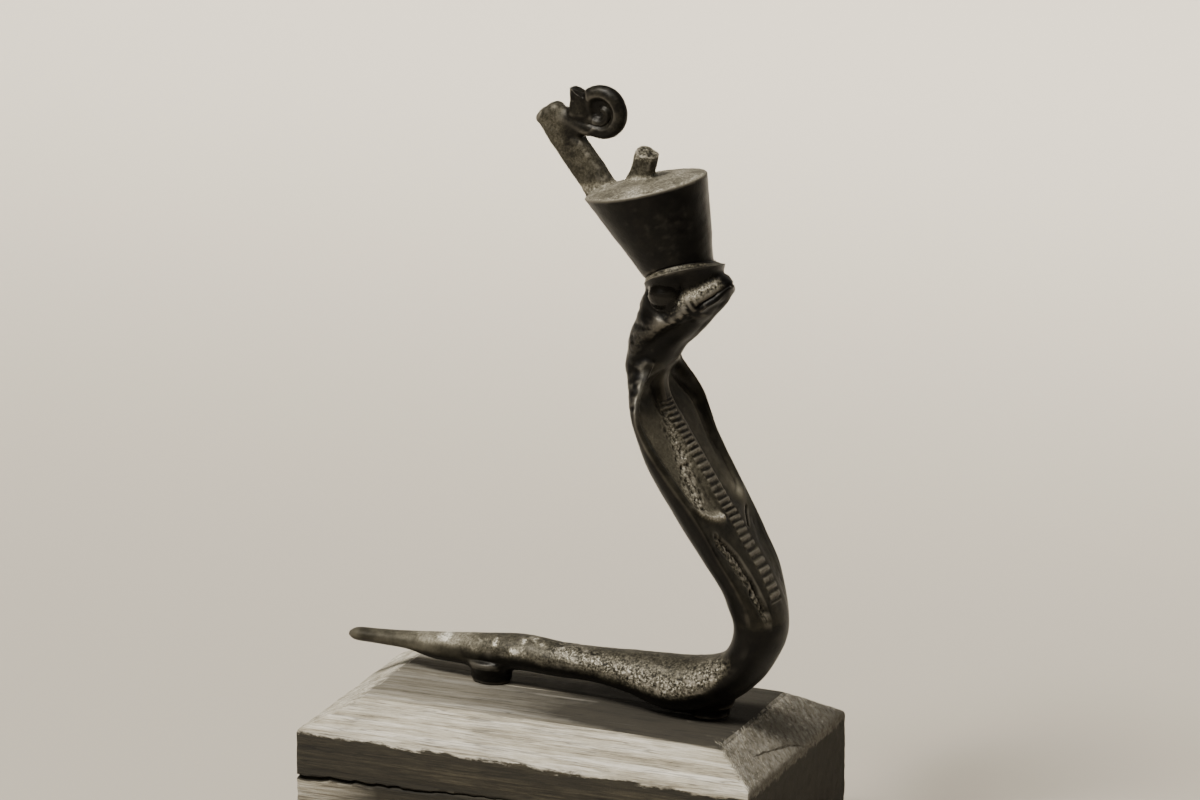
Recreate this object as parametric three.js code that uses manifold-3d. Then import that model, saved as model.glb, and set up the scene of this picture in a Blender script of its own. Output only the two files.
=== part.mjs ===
// Rearing cobra goddess in the Red Crown: one bronze casting that rests on a bevelled wooden plinth.
// Millimetres, +Z up, +X the way the cobra faces, +Y to its left.
// The origin lies under the middle of the whole length, on the plinth's underside.
import * as THREE from "three";
import Module from "manifold-3d";
import { mergeVertices } from "three/addons/utils/BufferGeometryUtils.js";

const wasm = await Module();
wasm.setup();

// Wooden plinth: a block with four sloping bevels round a flat top.
const PLINTH_LENGTH = 144.3;
const PLINTH_WIDTH = 78.8;
const PLINTH_HEIGHT = 46;
const BEVEL_DROP = 8;
const BEVEL_RUN = { front: 12.5, back: 12.2, tailEnd: 15, headEnd: 14.2 };
const EDGE_WANDER = 0.3;
const EDGE_STEPS = 12;

// Where the casting stands on the plinth, from the plinth's middle, and how far it is turned on it.
const COBRA_FOOT = { x: 42.1, y: -3.9 };
const COBRA_TURN_DEG = -6.2;
const REST_GAP = 0.3;

// The cobra's body, section by section from the tail's tip to the snout, in its own plane:
// s runs forward and z up from the plinth's top. belly is the direction that the belly faces, in
// degrees above forward. front, back and half are the section's depth to the belly, its depth to
// the back and its half width. hollow is the depth of the scoops beside the belly's ladder.
const BODY_SECTIONS = [
  { s: -118.2, z: 6.9, belly: -90, front: 0.8, back: 0.8, half: 0.9, hollow: 0 },
  { s: -115.5, z: 7.1, belly: -90, front: 1.9, back: 1.9, half: 2.3, hollow: 0 },
  { s: -108.0, z: 7.5, belly: -90, front: 2.3, back: 2.3, half: 3.0, hollow: 0 },
  { s: -98.0, z: 8.0, belly: -90, front: 2.8, back: 2.7, half: 3.6, hollow: 0 },
  { s: -87.5, z: 7.9, belly: -90, front: 4.1, back: 4.1, half: 4.6, hollow: 0 },
  { s: -74.0, z: 9.0, belly: -90, front: 5.0, back: 4.9, half: 5.4, hollow: 0 },
  { s: -60.0, z: 10.3, belly: -90, front: 5.4, back: 5.4, half: 5.9, hollow: 0 },
  { s: -46.6, z: 10.2, belly: -90, front: 5.1, back: 5.1, half: 6.1, hollow: 0 },
  { s: -33.5, z: 10.5, belly: -90, front: 5.1, back: 5.2, half: 6.6, hollow: 0 },
  { s: -22.0, z: 10.4, belly: -90, front: 6.3, back: 6.4, half: 7.6, hollow: 0 },
  { s: -12.0, z: 9.4, belly: -88, front: 7.9, back: 8.1, half: 8.8, hollow: 0 },
  { s: -3.0, z: 9.8, belly: -78, front: 8.6, back: 8.4, half: 9.4, hollow: 0 },
  { s: 6.0, z: 12.3, belly: -62, front: 7.5, back: 7.8, half: 9.4, hollow: 0 },
  { s: 13.4, z: 17.0, belly: -46, front: 6.8, back: 6.7, half: 9.2, hollow: 0 },
  { s: 18.4, z: 23.4, belly: -28, front: 6.6, back: 7.2, half: 9.0, hollow: 0 },
  { s: 20.8, z: 30.8, belly: -10, front: 7.3, back: 8.3, half: 9.4, hollow: 0 },
  { s: 21.2, z: 38.6, belly: 8, front: 4.5, back: 10.0, half: 11.8, hollow: 0.5 },
  { s: 19.0, z: 46.4, belly: 22, front: 2.2, back: 10.2, half: 14.2, hollow: 1.3 },
  { s: 14.0, z: 54.8, belly: 31, front: 1.5, back: 10.6, half: 15.5, hollow: 1.5 },
  { s: 10.0, z: 61.6, belly: 33, front: 1.5, back: 11.4, half: 16.1, hollow: 0.2 },
  { s: 6.0, z: 67.4, belly: 33, front: 2.0, back: 11.3, half: 16.7, hollow: 1.8 },
  { s: 0.8, z: 74.4, belly: 32, front: 2.5, back: 10.2, half: 18.0, hollow: 2.0 },
  { s: -4.1, z: 81.2, belly: 29, front: 2.8, back: 8.9, half: 19.2, hollow: 1.8 },
  { s: -7.5, z: 87.2, belly: 25, front: 2.4, back: 6.9, half: 20.3, hollow: 1.8 },
  { s: -10.3, z: 93.4, belly: 20, front: 1.6, back: 5.4, half: 20.5, hollow: 1.7 },
  { s: -11.8, z: 98.2, belly: 15, front: 1.1, back: 6.3, half: 18.3, hollow: 2.2 },
  { s: -12.7, z: 102.6, belly: 8, front: 1.6, back: 8.0, half: 14.4, hollow: 1.9 },
  { s: -13.9, z: 106.6, belly: 1, front: 4.4, back: 9.0, half: 10.7, hollow: 0.7 },
  { s: -14.7, z: 110.2, belly: -6, front: 7.2, back: 7.6, half: 9.7, hollow: 0 },
  { s: -13.6, z: 114.0, belly: -15, front: 7.8, back: 8.0, half: 9.9, hollow: 0 },
  { s: -11.2, z: 118.0, belly: -26, front: 8.0, back: 8.9, half: 10.4, hollow: 0 },
  { s: -7.8, z: 121.8, belly: -37, front: 8.0, back: 11.6, half: 10.8, hollow: 0 },
  { s: -3.5, z: 125.2, belly: -46, front: 7.2, back: 13.0, half: 10.4, hollow: 0 },
  { s: 1.5, z: 128.6, belly: -54, front: 5.7, back: 9.5, half: 9.2, hollow: 0 },
  { s: 5.4, z: 130.8, belly: -60, front: 4.4, back: 7.2, half: 7.4, hollow: 0 },
  { s: 8.2, z: 132.3, belly: -62, front: 2.9, back: 4.9, half: 5.2, hollow: 0 },
  { s: 9.7, z: 133.0, belly: -64, front: 1.3, back: 2.3, half: 2.6, hollow: 0 },
];
const STEPS_PER_SECTION = 3;
const BODY_SIDES = 24;
const HOLLOW_SPAN = { inner: 0.2, outer: 0.95 };
// The hood's rim stands proud of the scoops as a lip, by a share of their depth.
const RIM_LIP = { from: 0.9, to: 0.999, share: 0.45 };

// Ladder of belly plates up the hood, counted in sections of the list above. It strays from the
// left of the middle at its foot to the right of it at its head.
const LADDER = {
  from: 16.1, to: 24.4, rungs: 30, lowSide: 1.4, highSide: -1.4, lowWidth: 6.8, highWidth: 4.6,
  height: 1.3, share: 0.5,
};
// A raised lip closes the upper cell on each side of the ladder, and is worn down on the left.
const CELL_LIP = { at: 19.45, reach: 8.2, width: 6.4, thickness: 2.0, rightHeight: 1.2, leftHeight: 0.5 };

const EYE = { s: -7.6, side: 6.8, z: 130.1, radius: 5.4 };
const MOUTH = { from: [3.3, 127.7], to: [12.0, 135.4], side: 7.4, tipSide: 2.6, gape: 0.8, depth: 1.6 };

// Red Crown: a flaring cup on a collar, a tall spike up its back, a curl, and two broken stumps.
const CROWN_TILT_DEG = 14;
// The collar's ledge rises towards the front and towards the right, and is narrow behind.
const COLLAR = { s: -5.6, z: 134.6, radius: 12.2, rise: 0.39, roll: 0.18, sideLift: 1.1, backIn: 0.9 };
// The collar's section: heights over its ledge, and distances in from its edge at the front.
const COLLAR_SECTION = [[-5, 5], [-2.3, 0.9], [-1.8, 0], [-0.2, 0], [0, 0.2], [0.3, 2.2]];
const COLLAR_CLEARANCE = 0.55;
const CUP_BASE = { s: -7.3, z: 137.0, radius: 11.1 };
const CUP_TOP = { s: -17.9, z: 159.3, radius: 18.2, dome: 1.8, lip: 0.7 };
// Where the cup's rings lie between its base and its top.
const CUP_LEVELS = [-0.1, 0.05, 0.35, 0.7, 1];
const CUP_SIDES = 36;

const SPIKE = {
  root: [-25.6, 151.6], foot: [-31.0, 154.6], head: [-50.8, 179.1],
  deep: 9.1, thick: 6.2, headDeep: 9.3, corner: 1.8,
};
const CURL = { s: -32.4, z: 179.7, radius: 5.75, innerRadius: 1.2, tube: 2.35, innerTube: 1.3, web: 2.0 };
const CURL_TURN_DEG = { start: -150, hold: 95, end: 360 };
const CURL_STEPS = 26;
const CURL_KNOB = 1.6;
// The web between the spike's head and the curl: its outline in the cobra's plane, from the spike on.
const NECK = {
  low: [[-49.5, 175.5], [-46, 173.5], [-42, 171.9], [-38, 171.6], [-35.5, 172.6]],
  high: [[-35.5, 180.4], [-38, 180.6], [-42, 179.9], [-49.5, 179.3]],
  thick: 3.8,
};
const BROKEN_HORN = { s: -39.6, z: 178.5, deep: 5.8, thick: 4.8, back: 7.8, front: 4.6 };
const STUMP = {
  root: [-19.9, 157.4], foot: [-19.6, 160.6], head: [-17.4, 170.2],
  deep: 6.5, thick: 5.0, flare: 1.6,
};

// Two oval pegs lift the casting off the plinth.
const TAIL_PEG = { s: -69.6, side: -0.4, deep: 6.4, wide: 5.2, top: 7 };
const BEND_PEG = { s: 2.6, side: 1.2, deep: 6.6, wide: 5.4, top: 6 };

const BRONZE = { color: 0x2f2b22, roughness: 0.42, metalness: 0.85 };
const OLD_WOOD = { color: 0x8d8676, roughness: 0.85, metalness: 0 };

const radians = THREE.MathUtils.degToRad;
const lerp = THREE.MathUtils.lerp;

// A closed surface through rings of equal length, with a fan over each end.
function loft(rings) {
  const sides = rings[0].length;
  const points = rings.flat();
  const faces = [];
  for (let ring = 0; ring + 1 < rings.length; ring += 1) {
    for (let side = 0; side < sides; side += 1) {
      const next = (side + 1) % sides;
      const a = ring * sides + side;
      const b = ring * sides + next;
      faces.push([a, b, b + sides], [a, b + sides, a + sides]);
    }
  }
  const capEnds = [[0, -1], [rings.length - 1, 1]];
  for (const [ring, facing] of capEnds) {
    const middle = new THREE.Vector3();
    rings[ring].forEach((point) => middle.addScaledVector(point, 1 / sides));
    points.push(middle);
    for (let side = 0; side < sides; side += 1) {
      const a = ring * sides + side;
      const b = ring * sides + (side + 1) % sides;
      faces.push(facing > 0 ? [a, b, points.length - 1] : [b, a, points.length - 1]);
    }
  }
  return facingOut(points, faces);
}

// A geometry from points and triangles, turned so that its faces point out.
function facingOut(points, faces) {
  const volume = faces.reduce((sum, [a, b, c]) => {
    return sum + points[a].dot(new THREE.Vector3().crossVectors(points[b], points[c]));
  }, 0);
  const turned = volume < 0 ? faces.map(([a, b, c]) => [a, c, b]) : faces;
  const geometry = new THREE.BufferGeometry().setFromPoints(points);
  geometry.setIndex(turned.flat());
  return geometry;
}

function solidOf(geometry) {
  const bare = geometry.clone();
  bare.deleteAttribute("normal");
  bare.deleteAttribute("uv");
  const merged = mergeVertices(bare);
  const vertProperties = new Float32Array(merged.attributes.position.array);
  const triVerts = new Uint32Array(merged.index.array);
  return new wasm.Manifold(new wasm.Mesh({ numProp: 3, vertProperties, triVerts }));
}

function geometryOf(solid) {
  const { vertProperties, triVerts } = solid.getMesh();
  const geometry = new THREE.BufferGeometry();
  geometry.setAttribute("position", new THREE.BufferAttribute(new Float32Array(vertProperties), 3));
  geometry.setIndex(new THREE.BufferAttribute(new Uint32Array(triVerts), 1));
  geometry.computeVertexNormals();
  return geometry;
}

// One section of the body at a fractional place in the list, by a smooth curve through its values.
function sectionAt(place) {
  const last = BODY_SECTIONS.length - 1;
  const low = Math.min(Math.floor(place), last - 1);
  const t = place - low;
  const pick = (offset) => BODY_SECTIONS[THREE.MathUtils.clamp(low + offset, 0, last)];
  const [p0, p1, p2, p3] = [pick(-1), pick(0), pick(1), pick(2)];
  const section = {};
  for (const key of Object.keys(p1)) {
    const bend = (3 * p1[key] - p0[key] - 3 * p2[key] + p3[key]) * t * t * t;
    const ease = (2 * p0[key] - 5 * p1[key] + 4 * p2[key] - p3[key]) * t * t;
    section[key] = 0.5 * (2 * p1[key] + (p2[key] - p0[key]) * t + ease + bend);
  }
  return section;
}

// The point of a section that lies at a depth towards the belly and at a distance to the left.
function inSection(section, depth, left) {
  const facing = radians(section.belly);
  return new THREE.Vector3(section.s + depth * Math.cos(facing), left, section.z + depth * Math.sin(facing));
}

// How deep the scoop beside the ladder is, from 0 to 1, at a share of the half width.
function scoop(share) {
  const along = (share - HOLLOW_SPAN.inner) / (HOLLOW_SPAN.outer - HOLLOW_SPAN.inner);
  return along > 0 && along < 1 ? Math.sin(Math.PI * along) ** 2 : 0;
}

// How high the rim's lip is, from 0 to 1, at a share of the half width.
function rimLip(share) {
  const along = (share - RIM_LIP.from) / (RIM_LIP.to - RIM_LIP.from);
  return along > 0 && along < 1 ? Math.sin(Math.PI * along) : 0;
}

function bodyRing(section) {
  const ring = [];
  for (let side = 0; side < BODY_SIDES; side += 1) {
    const angle = (2 * Math.PI * side) / BODY_SIDES;
    const forward = Math.cos(angle);
    const share = Math.sin(angle);
    const relief = RIM_LIP.share * rimLip(Math.abs(share)) - scoop(Math.abs(share));
    const belly = section.front * forward + section.hollow * relief;
    ring.push(inSection(section, forward >= 0 ? belly : section.back * forward, section.half * share));
  }
  return ring;
}

function body() {
  const steps = (BODY_SECTIONS.length - 1) * STEPS_PER_SECTION;
  const rings = [];
  for (let step = 0; step <= steps; step += 1) {
    rings.push(bodyRing(sectionAt(step / STEPS_PER_SECTION)));
  }
  return loft(rings);
}

// A block of the given size whose middle is at a point, turned in the cobra's plane and in plan.
function block(length, across, height, middle, tilt, yaw = 0) {
  const geometry = new THREE.BoxGeometry(length, across, height);
  geometry.rotateY(-tilt);
  geometry.rotateZ(yaw);
  geometry.translate(middle.x, middle.y, middle.z);
  return geometry;
}

// The belly plates: one low block across the ridge at each step of the ladder.
function ladderRungs() {
  const rungs = [];
  const pitch = (LADDER.to - LADDER.from) / (LADDER.rungs - 1);
  for (let rung = 0; rung < LADDER.rungs; rung += 1) {
    const place = LADDER.from + rung * pitch;
    const section = sectionAt(place);
    const ahead = sectionAt(place + pitch);
    const step = Math.hypot(ahead.s - section.s, ahead.z - section.z);
    const climbed = rung / (LADDER.rungs - 1);
    const width = lerp(LADDER.lowWidth, LADDER.highWidth, climbed);
    const middle = inSection(section, section.front, lerp(LADDER.lowSide, LADDER.highSide, climbed));
    rungs.push(block(LADDER.height, width, step * LADDER.share, middle, radians(section.belly)));
  }
  return rungs;
}

function cellLips() {
  const section = sectionAt(CELL_LIP.at);
  return [[-1, CELL_LIP.rightHeight], [1, CELL_LIP.leftHeight]].map(([hand, height]) => {
    const middle = inSection(section, section.front - height / 2, hand * CELL_LIP.reach);
    return block(height * 2, CELL_LIP.width, CELL_LIP.thickness, middle, radians(section.belly));
  });
}

function eyes() {
  return [-1, 1].map((hand) => {
    return new THREE.SphereGeometry(EYE.radius, 18, 12).translate(EYE.s, hand * EYE.side, EYE.z);
  });
}

// Thin cuts along both lips that meet at the snout.
function mouthCuts() {
  const rise = Math.atan2(MOUTH.to[1] - MOUTH.from[1], MOUTH.to[0] - MOUTH.from[0]);
  const run = Math.hypot(MOUTH.to[0] - MOUTH.from[0], MOUTH.to[1] - MOUTH.from[1]);
  const taper = Math.atan2(MOUTH.side - MOUTH.tipSide, run);
  return [-1, 1].map((hand) => {
    const cut = new THREE.BoxGeometry(run, MOUTH.depth, MOUTH.gape);
    cut.rotateZ(-hand * taper);
    cut.rotateY(-rise);
    const side = hand * (MOUTH.side + MOUTH.tipSide) / 2;
    return cut.translate((MOUTH.from[0] + MOUTH.to[0]) / 2, side, (MOUTH.from[1] + MOUTH.to[1]) / 2);
  });
}

// The height of the collar's ledge at a point of the plan.
function ledgeLevel(s, left) {
  const forward = s - COLLAR.s;
  const lift = (COLLAR.sideLift * left ** 2) / (forward ** 2 + left ** 2 + 1);
  return COLLAR.z + COLLAR.rise * forward - COLLAR.roll * left + lift;
}

// A ring of the collar, at a height over its ledge and a distance in from its edge at the front.
// Above the edge it is drawn in less behind, where the ledge is narrow.
function collarRing([up, inward]) {
  const ring = [];
  for (let side = 0; side < CUP_SIDES; side += 1) {
    const angle = (2 * Math.PI * side) / CUP_SIDES;
    const front = 0.5 + 0.5 * Math.cos(angle);
    const drawn = up > -1 ? inward * lerp(0.15, 1, front) : inward;
    const radius = COLLAR.radius - drawn - COLLAR.backIn * (1 - front) ** 3;
    const s = COLLAR.s + radius * Math.cos(angle);
    const left = radius * Math.sin(angle);
    ring.push(new THREE.Vector3(s, left, ledgeLevel(s, left) + up));
  }
  return ring;
}

// A ring of the cup, square to its leaning axis, and kept clear above the collar's ledge.
function crownRing(centre, radius) {
  const tilt = radians(CROWN_TILT_DEG);
  const ring = [];
  for (let side = 0; side < CUP_SIDES; side += 1) {
    const angle = (2 * Math.PI * side) / CUP_SIDES;
    const forward = radius * Math.cos(angle);
    const s = centre.s + forward * Math.cos(tilt);
    const left = radius * Math.sin(angle);
    const level = Math.max(centre.z + forward * Math.sin(tilt), ledgeLevel(s, left) + COLLAR_CLEARANCE);
    ring.push(new THREE.Vector3(s, left, level));
  }
  return ring;
}

function along(from, to, share) {
  return { s: lerp(from.s, to.s, share), z: lerp(from.z, to.z, share) };
}

// A point off a crown centre by a distance along the crown's own axis.
function upCrown(centre, distance) {
  const tilt = radians(CROWN_TILT_DEG);
  return { s: centre.s - distance * Math.sin(tilt), z: centre.z + distance * Math.cos(tilt) };
}

function crownCup() {
  const rings = COLLAR_SECTION.map(collarRing);
  for (const share of CUP_LEVELS) {
    rings.push(crownRing(along(CUP_BASE, CUP_TOP, share), lerp(CUP_BASE.radius, CUP_TOP.radius, share)));
  }
  rings.push(crownRing(upCrown(CUP_TOP, CUP_TOP.lip * 0.7), CUP_TOP.radius - CUP_TOP.lip));
  for (const share of [0.66, 0.33]) {
    const rise = CUP_TOP.lip * 0.7 + CUP_TOP.dome * (1 - share ** 2);
    rings.push(crownRing(upCrown(CUP_TOP, rise), CUP_TOP.radius * share));
  }
  return loft(rings);
}

// A rounded oblong, with its corners as quarter circles, at a point of the cobra's plane.
function oblongRing(centre, deep, thick, corner, lean) {
  const quarter = 3;
  const ring = [];
  for (let turn = 0; turn < 4; turn += 1) {
    const [fore, left] = [[1, 1], [-1, 1], [-1, -1], [1, -1]][turn];
    for (let step = 0; step <= quarter; step += 1) {
      const angle = (Math.PI / 2) * (turn + step / quarter);
      const x = fore * (deep / 2 - corner) + corner * Math.cos(angle);
      const y = left * (thick / 2 - corner) + corner * Math.sin(angle);
      ring.push(new THREE.Vector3(centre[0] + x * Math.cos(lean), y, centre[1] + x * Math.sin(lean)));
    }
  }
  return ring;
}

// An upright bar in the cobra's plane, with a root buried in the cup, a flared foot and a softened head.
function bar({ root, foot, head, deep, thick, headDeep = deep, corner = 1.3, flare = 0.8 }) {
  const lean = Math.atan2(head[1] - foot[1], head[0] - foot[0]) - Math.PI / 2;
  const rings = [oblongRing(root, deep * 0.6, thick * 0.8, corner, lean)];
  for (const [share, grow] of [[0.03, flare], [0.16, flare / 4], [0.5, 0], [0.95, 0], [1, -1]]) {
    const centre = [lerp(foot[0], head[0], share), lerp(foot[1], head[1], share)];
    const depth = lerp(deep, headDeep, share) + 2 * grow;
    rings.push(oblongRing(centre, depth, thick + 2 * grow, Math.min(corner, thick / 2 - 0.2), lean));
  }
  return loft(rings);
}

// The curl: a round bar that leaves the spike, turns once round and winds in to its end.
function curl() {
  const { start, hold, end } = CURL_TURN_DEG;
  const sides = 8;
  const rings = [];
  for (let step = 0; step <= CURL_STEPS; step += 1) {
    const turn = lerp(start, end, step / CURL_STEPS);
    const wind = THREE.MathUtils.smoothstep(turn, hold, end);
    const radius = lerp(CURL.radius, CURL.innerRadius, wind);
    const tube = lerp(CURL.tube, CURL.innerTube, wind);
    const outward = new THREE.Vector3(Math.cos(radians(turn)), 0, Math.sin(radians(turn)));
    const ring = [];
    for (let side = 0; side < sides; side += 1) {
      const angle = (2 * Math.PI * side) / sides;
      const point = new THREE.Vector3(CURL.s, tube * Math.sin(angle), CURL.z);
      ring.push(point.addScaledVector(outward, radius + tube * Math.cos(angle)));
    }
    rings.push(ring);
  }
  return loft(rings);
}

// The web that closes the middle of the curl.
function curlWeb() {
  return new THREE.CylinderGeometry(CURL.radius, CURL.radius, CURL.web, 20).translate(CURL.s, 0, CURL.z);
}

function curlKnob() {
  return new THREE.SphereGeometry(CURL_KNOB, 10, 6).scale(1, 1.4, 1).translate(CURL.s - 0.3, 0, CURL.z - 0.8);
}

// A slab of an outline in the cobra's plane, with its middle on that plane.
function slab(points, thick) {
  const outline = new THREE.Shape(points.map(([s, z]) => new THREE.Vector2(s, z)));
  const geometry = new THREE.ExtrudeGeometry(outline, { depth: thick, bevelEnabled: false });
  return geometry.rotateX(Math.PI / 2).translate(0, thick / 2, 0);
}

function neck() {
  return slab([...NECK.low, ...NECK.high], NECK.thick);
}

// The horn above the neck, broken off short on a slope that falls forward.
function brokenHorn() {
  const { s, z, deep, thick, back, front } = BROKEN_HORN;
  const outline = [
    [s - deep / 2, z - 1],
    [s + deep / 2, z - 1],
    [s + deep / 2, z + front],
    [s + deep * 0.1, z + back - 0.9],
    [s - deep * 0.2, z + back],
    [s - deep * 0.42, z + back - 1.6],
  ];
  return slab(outline, thick);
}

function peg({ s, side, deep, wide, top }) {
  const geometry = new THREE.CylinderGeometry(0.9, 1, top - REST_GAP, 20);
  geometry.rotateX(Math.PI / 2);
  geometry.scale(deep, wide, 1);
  return geometry.translate(s, side, (top + REST_GAP) / 2);
}

function cobra() {
  const crown = [crownCup(), bar(SPIKE), curl(), curlWeb(), curlKnob(), neck(), brokenHorn(), bar(STUMP)];
  const joined = [...crown, ...eyes(), ...ladderRungs(), ...cellLips(), peg(TAIL_PEG), peg(BEND_PEG)];
  let casting = solidOf(body());
  joined.forEach((piece) => { casting = casting.add(solidOf(piece)); });
  mouthCuts().forEach((cut) => { casting = casting.subtract(solidOf(cut)); });
  return geometryOf(casting);
}

// A wandering departure for a hand-worked edge, at a distance along it.
function wander(distance, phase) {
  return EDGE_WANDER * (Math.sin(distance / 9 + phase) + 0.6 * Math.sin(distance / 4.1 + 2 * phase));
}

// The outline of the plinth at one level, set in from its four sides, with uneven edges.
function plinthRing(z, inset, uneven) {
  const left = -PLINTH_LENGTH / 2 + inset.tailEnd;
  const right = PLINTH_LENGTH / 2 - inset.headEnd;
  const near = -PLINTH_WIDTH / 2 + inset.front;
  const far = PLINTH_WIDTH / 2 - inset.back;
  const corners = [[left, near], [right, near], [right, far], [left, far]];
  const ring = [];
  corners.forEach(([x, y], corner) => {
    const [nextX, nextY] = corners[(corner + 1) % corners.length];
    for (let step = 0; step < EDGE_STEPS; step += 1) {
      const share = step / EDGE_STEPS;
      const ease = Math.sin(Math.PI * share);
      const distance = share * Math.hypot(nextX - x, nextY - y);
      const drift = uneven * ease * wander(distance, corner + z);
      ring.push(new THREE.Vector3(lerp(x, nextX, share), lerp(y, nextY, share), z + drift));
    }
  });
  return ring;
}

function plinth() {
  const sheer = { front: 0, back: 0, tailEnd: 0, headEnd: 0 };
  const rings = [
    plinthRing(0, sheer, 0),
    plinthRing(PLINTH_HEIGHT - BEVEL_DROP, sheer, 1),
    plinthRing(PLINTH_HEIGHT, BEVEL_RUN, 0),
  ];
  return loft(rings);
}

function finish(geometry, name, material) {
  const mesh = new THREE.Mesh(geometry, new THREE.MeshStandardMaterial(material));
  mesh.name = name;
  return mesh;
}

const figure = new THREE.Group();
figure.add(finish(cobra(), "cobra", BRONZE));
figure.position.set(COBRA_FOOT.x, COBRA_FOOT.y, PLINTH_HEIGHT);
figure.rotation.z = radians(COBRA_TURN_DEG);

const statuette = new THREE.Group();
statuette.add(finish(plinth(), "plinth", OLD_WOOD), figure);
statuette.updateMatrixWorld(true);
const reach = new THREE.Box3().setFromObject(statuette, true);
statuette.position.x = -(reach.min.x + reach.max.x) / 2;

export default statuette;
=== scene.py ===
import math

import bmesh
import bpy
import numpy as np
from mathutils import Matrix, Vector


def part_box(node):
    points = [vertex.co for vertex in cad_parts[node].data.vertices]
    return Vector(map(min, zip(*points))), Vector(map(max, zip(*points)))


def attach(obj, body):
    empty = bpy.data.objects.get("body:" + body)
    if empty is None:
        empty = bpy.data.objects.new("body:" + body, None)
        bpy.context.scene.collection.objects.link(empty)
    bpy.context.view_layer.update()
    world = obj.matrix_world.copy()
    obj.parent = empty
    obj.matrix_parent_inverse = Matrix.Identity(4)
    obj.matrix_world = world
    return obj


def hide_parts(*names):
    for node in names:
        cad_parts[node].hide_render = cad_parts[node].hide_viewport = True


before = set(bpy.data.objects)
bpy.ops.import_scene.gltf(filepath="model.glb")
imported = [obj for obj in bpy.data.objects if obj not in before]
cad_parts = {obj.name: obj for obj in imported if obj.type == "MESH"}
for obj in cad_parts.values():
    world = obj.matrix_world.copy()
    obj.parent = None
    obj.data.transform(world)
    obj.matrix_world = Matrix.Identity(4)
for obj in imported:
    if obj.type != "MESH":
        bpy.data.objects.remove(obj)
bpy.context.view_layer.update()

# Lengths are in millimetres until a mesh is made. The cobra's own plane has s running forward and
# z up from the plinth's top, and l is the distance to the cobra's left.
MM = 0.001

# Where the casting stands on the plinth, from the plinth's middle, and how far it is turned.
COBRA_FOOT = (42.1, -3.9)
COBRA_TURN_DEG = -6.2
PLINTH_LENGTH = 144.3
PLINTH_WIDTH = 78.8
PLINTH_HEIGHT = 46.0
BEVEL_DROP = 8.0
BEVEL_RUN = {"front": 12.5, "back": 12.2, "tail_end": 15.0, "head_end": 14.2}
REST_GAP = 0.3

# The body's sections from the tail's tip to the snout: s, z, the direction that the belly faces in
# degrees above forward, the depth to the belly, the depth to the back, the half width, and the
# depth of the scoops beside the belly's ladder.
BODY_SECTIONS = [
    (-118.2, 6.9, -90, 0.8, 0.8, 0.9, 0),
    (-115.5, 7.1, -90, 1.9, 1.9, 2.3, 0),
    (-108.0, 7.5, -90, 2.3, 2.3, 3.0, 0),
    (-98.0, 8.0, -90, 2.8, 2.7, 3.6, 0),
    (-87.5, 7.9, -90, 4.1, 4.1, 4.6, 0),
    (-74.0, 9.0, -90, 5.0, 4.9, 5.4, 0),
    (-60.0, 10.3, -90, 5.4, 5.4, 5.9, 0),
    (-46.6, 10.2, -90, 5.1, 5.1, 6.1, 0),
    (-33.5, 10.5, -90, 5.1, 5.2, 6.6, 0),
    (-22.0, 10.4, -90, 6.3, 6.4, 7.6, 0),
    (-12.0, 9.4, -88, 7.9, 8.1, 8.8, 0),
    (-3.0, 9.8, -78, 8.6, 8.4, 9.4, 0),
    (6.0, 12.3, -62, 7.5, 7.8, 9.4, 0),
    (13.4, 17.0, -46, 6.8, 6.7, 9.2, 0),
    (18.4, 23.4, -28, 6.6, 7.2, 9.0, 0),
    (20.8, 30.8, -10, 7.3, 8.3, 9.4, 0),
    (21.2, 38.6, 8, 4.5, 10.0, 11.8, 0.5),
    (19.0, 46.4, 22, 2.2, 10.2, 14.2, 1.3),
    (14.0, 54.8, 31, 1.5, 10.6, 15.5, 1.5),
    (10.0, 61.6, 33, 1.5, 11.4, 16.1, 0.2),
    (6.0, 67.4, 33, 2.0, 11.3, 16.7, 1.8),
    (0.8, 74.4, 32, 2.5, 10.2, 18.0, 2.0),
    (-4.1, 81.2, 29, 2.8, 8.9, 19.2, 1.8),
    (-7.5, 87.2, 25, 2.4, 6.9, 20.3, 1.8),
    (-10.3, 93.4, 20, 1.6, 5.4, 20.5, 1.7),
    (-11.8, 98.2, 15, 1.1, 6.3, 18.3, 2.2),
    (-12.7, 102.6, 8, 1.6, 8.0, 14.4, 1.9),
    (-13.9, 106.6, 1, 4.4, 9.0, 10.7, 0.7),
    (-14.7, 110.2, -6, 7.2, 7.6, 9.7, 0),
    (-13.6, 114.0, -15, 7.8, 8.0, 9.9, 0),
    (-11.2, 118.0, -26, 8.0, 8.9, 10.4, 0),
    (-7.8, 121.8, -37, 8.0, 11.6, 10.8, 0),
    (-3.5, 125.2, -46, 7.2, 13.0, 10.4, 0),
    (1.5, 128.6, -54, 5.7, 9.5, 9.2, 0),
    (5.4, 130.8, -60, 4.4, 7.2, 7.4, 0),
    (8.2, 132.3, -62, 2.9, 4.9, 5.2, 0),
    (9.7, 133.0, -64, 1.3, 2.3, 2.6, 0),
    (10.5, 133.3, -64, 0.5, 1.0, 1.2, 0),
]
# How many rings are laid between two sections: few along the tail, many where the carving is fine.
RING_STEPS = [(0, 10, 9), (10, 16, 9), (16, 25, 24), (25, 30, 10), (30, 37, 11)]
RIGHT_BELLY_SIDES = 62
LEFT_BELLY_SIDES = 42
BACK_SIDES = 40

LADDER = {"from": 16.1, "to": 24.5, "rungs": 30, "low_width": 6.8, "high_width": 4.6, "rise": 0.75}
# How far the ladder strays to the left of the middle, as heights and distances.
LADDER_DRIFT = [(38, -0.8), (42, 0.6), (47, 1.7), (54, 1.7), (61, 1.1), (68, 0.1), (80, -0.4), (95, -1.4)]
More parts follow.
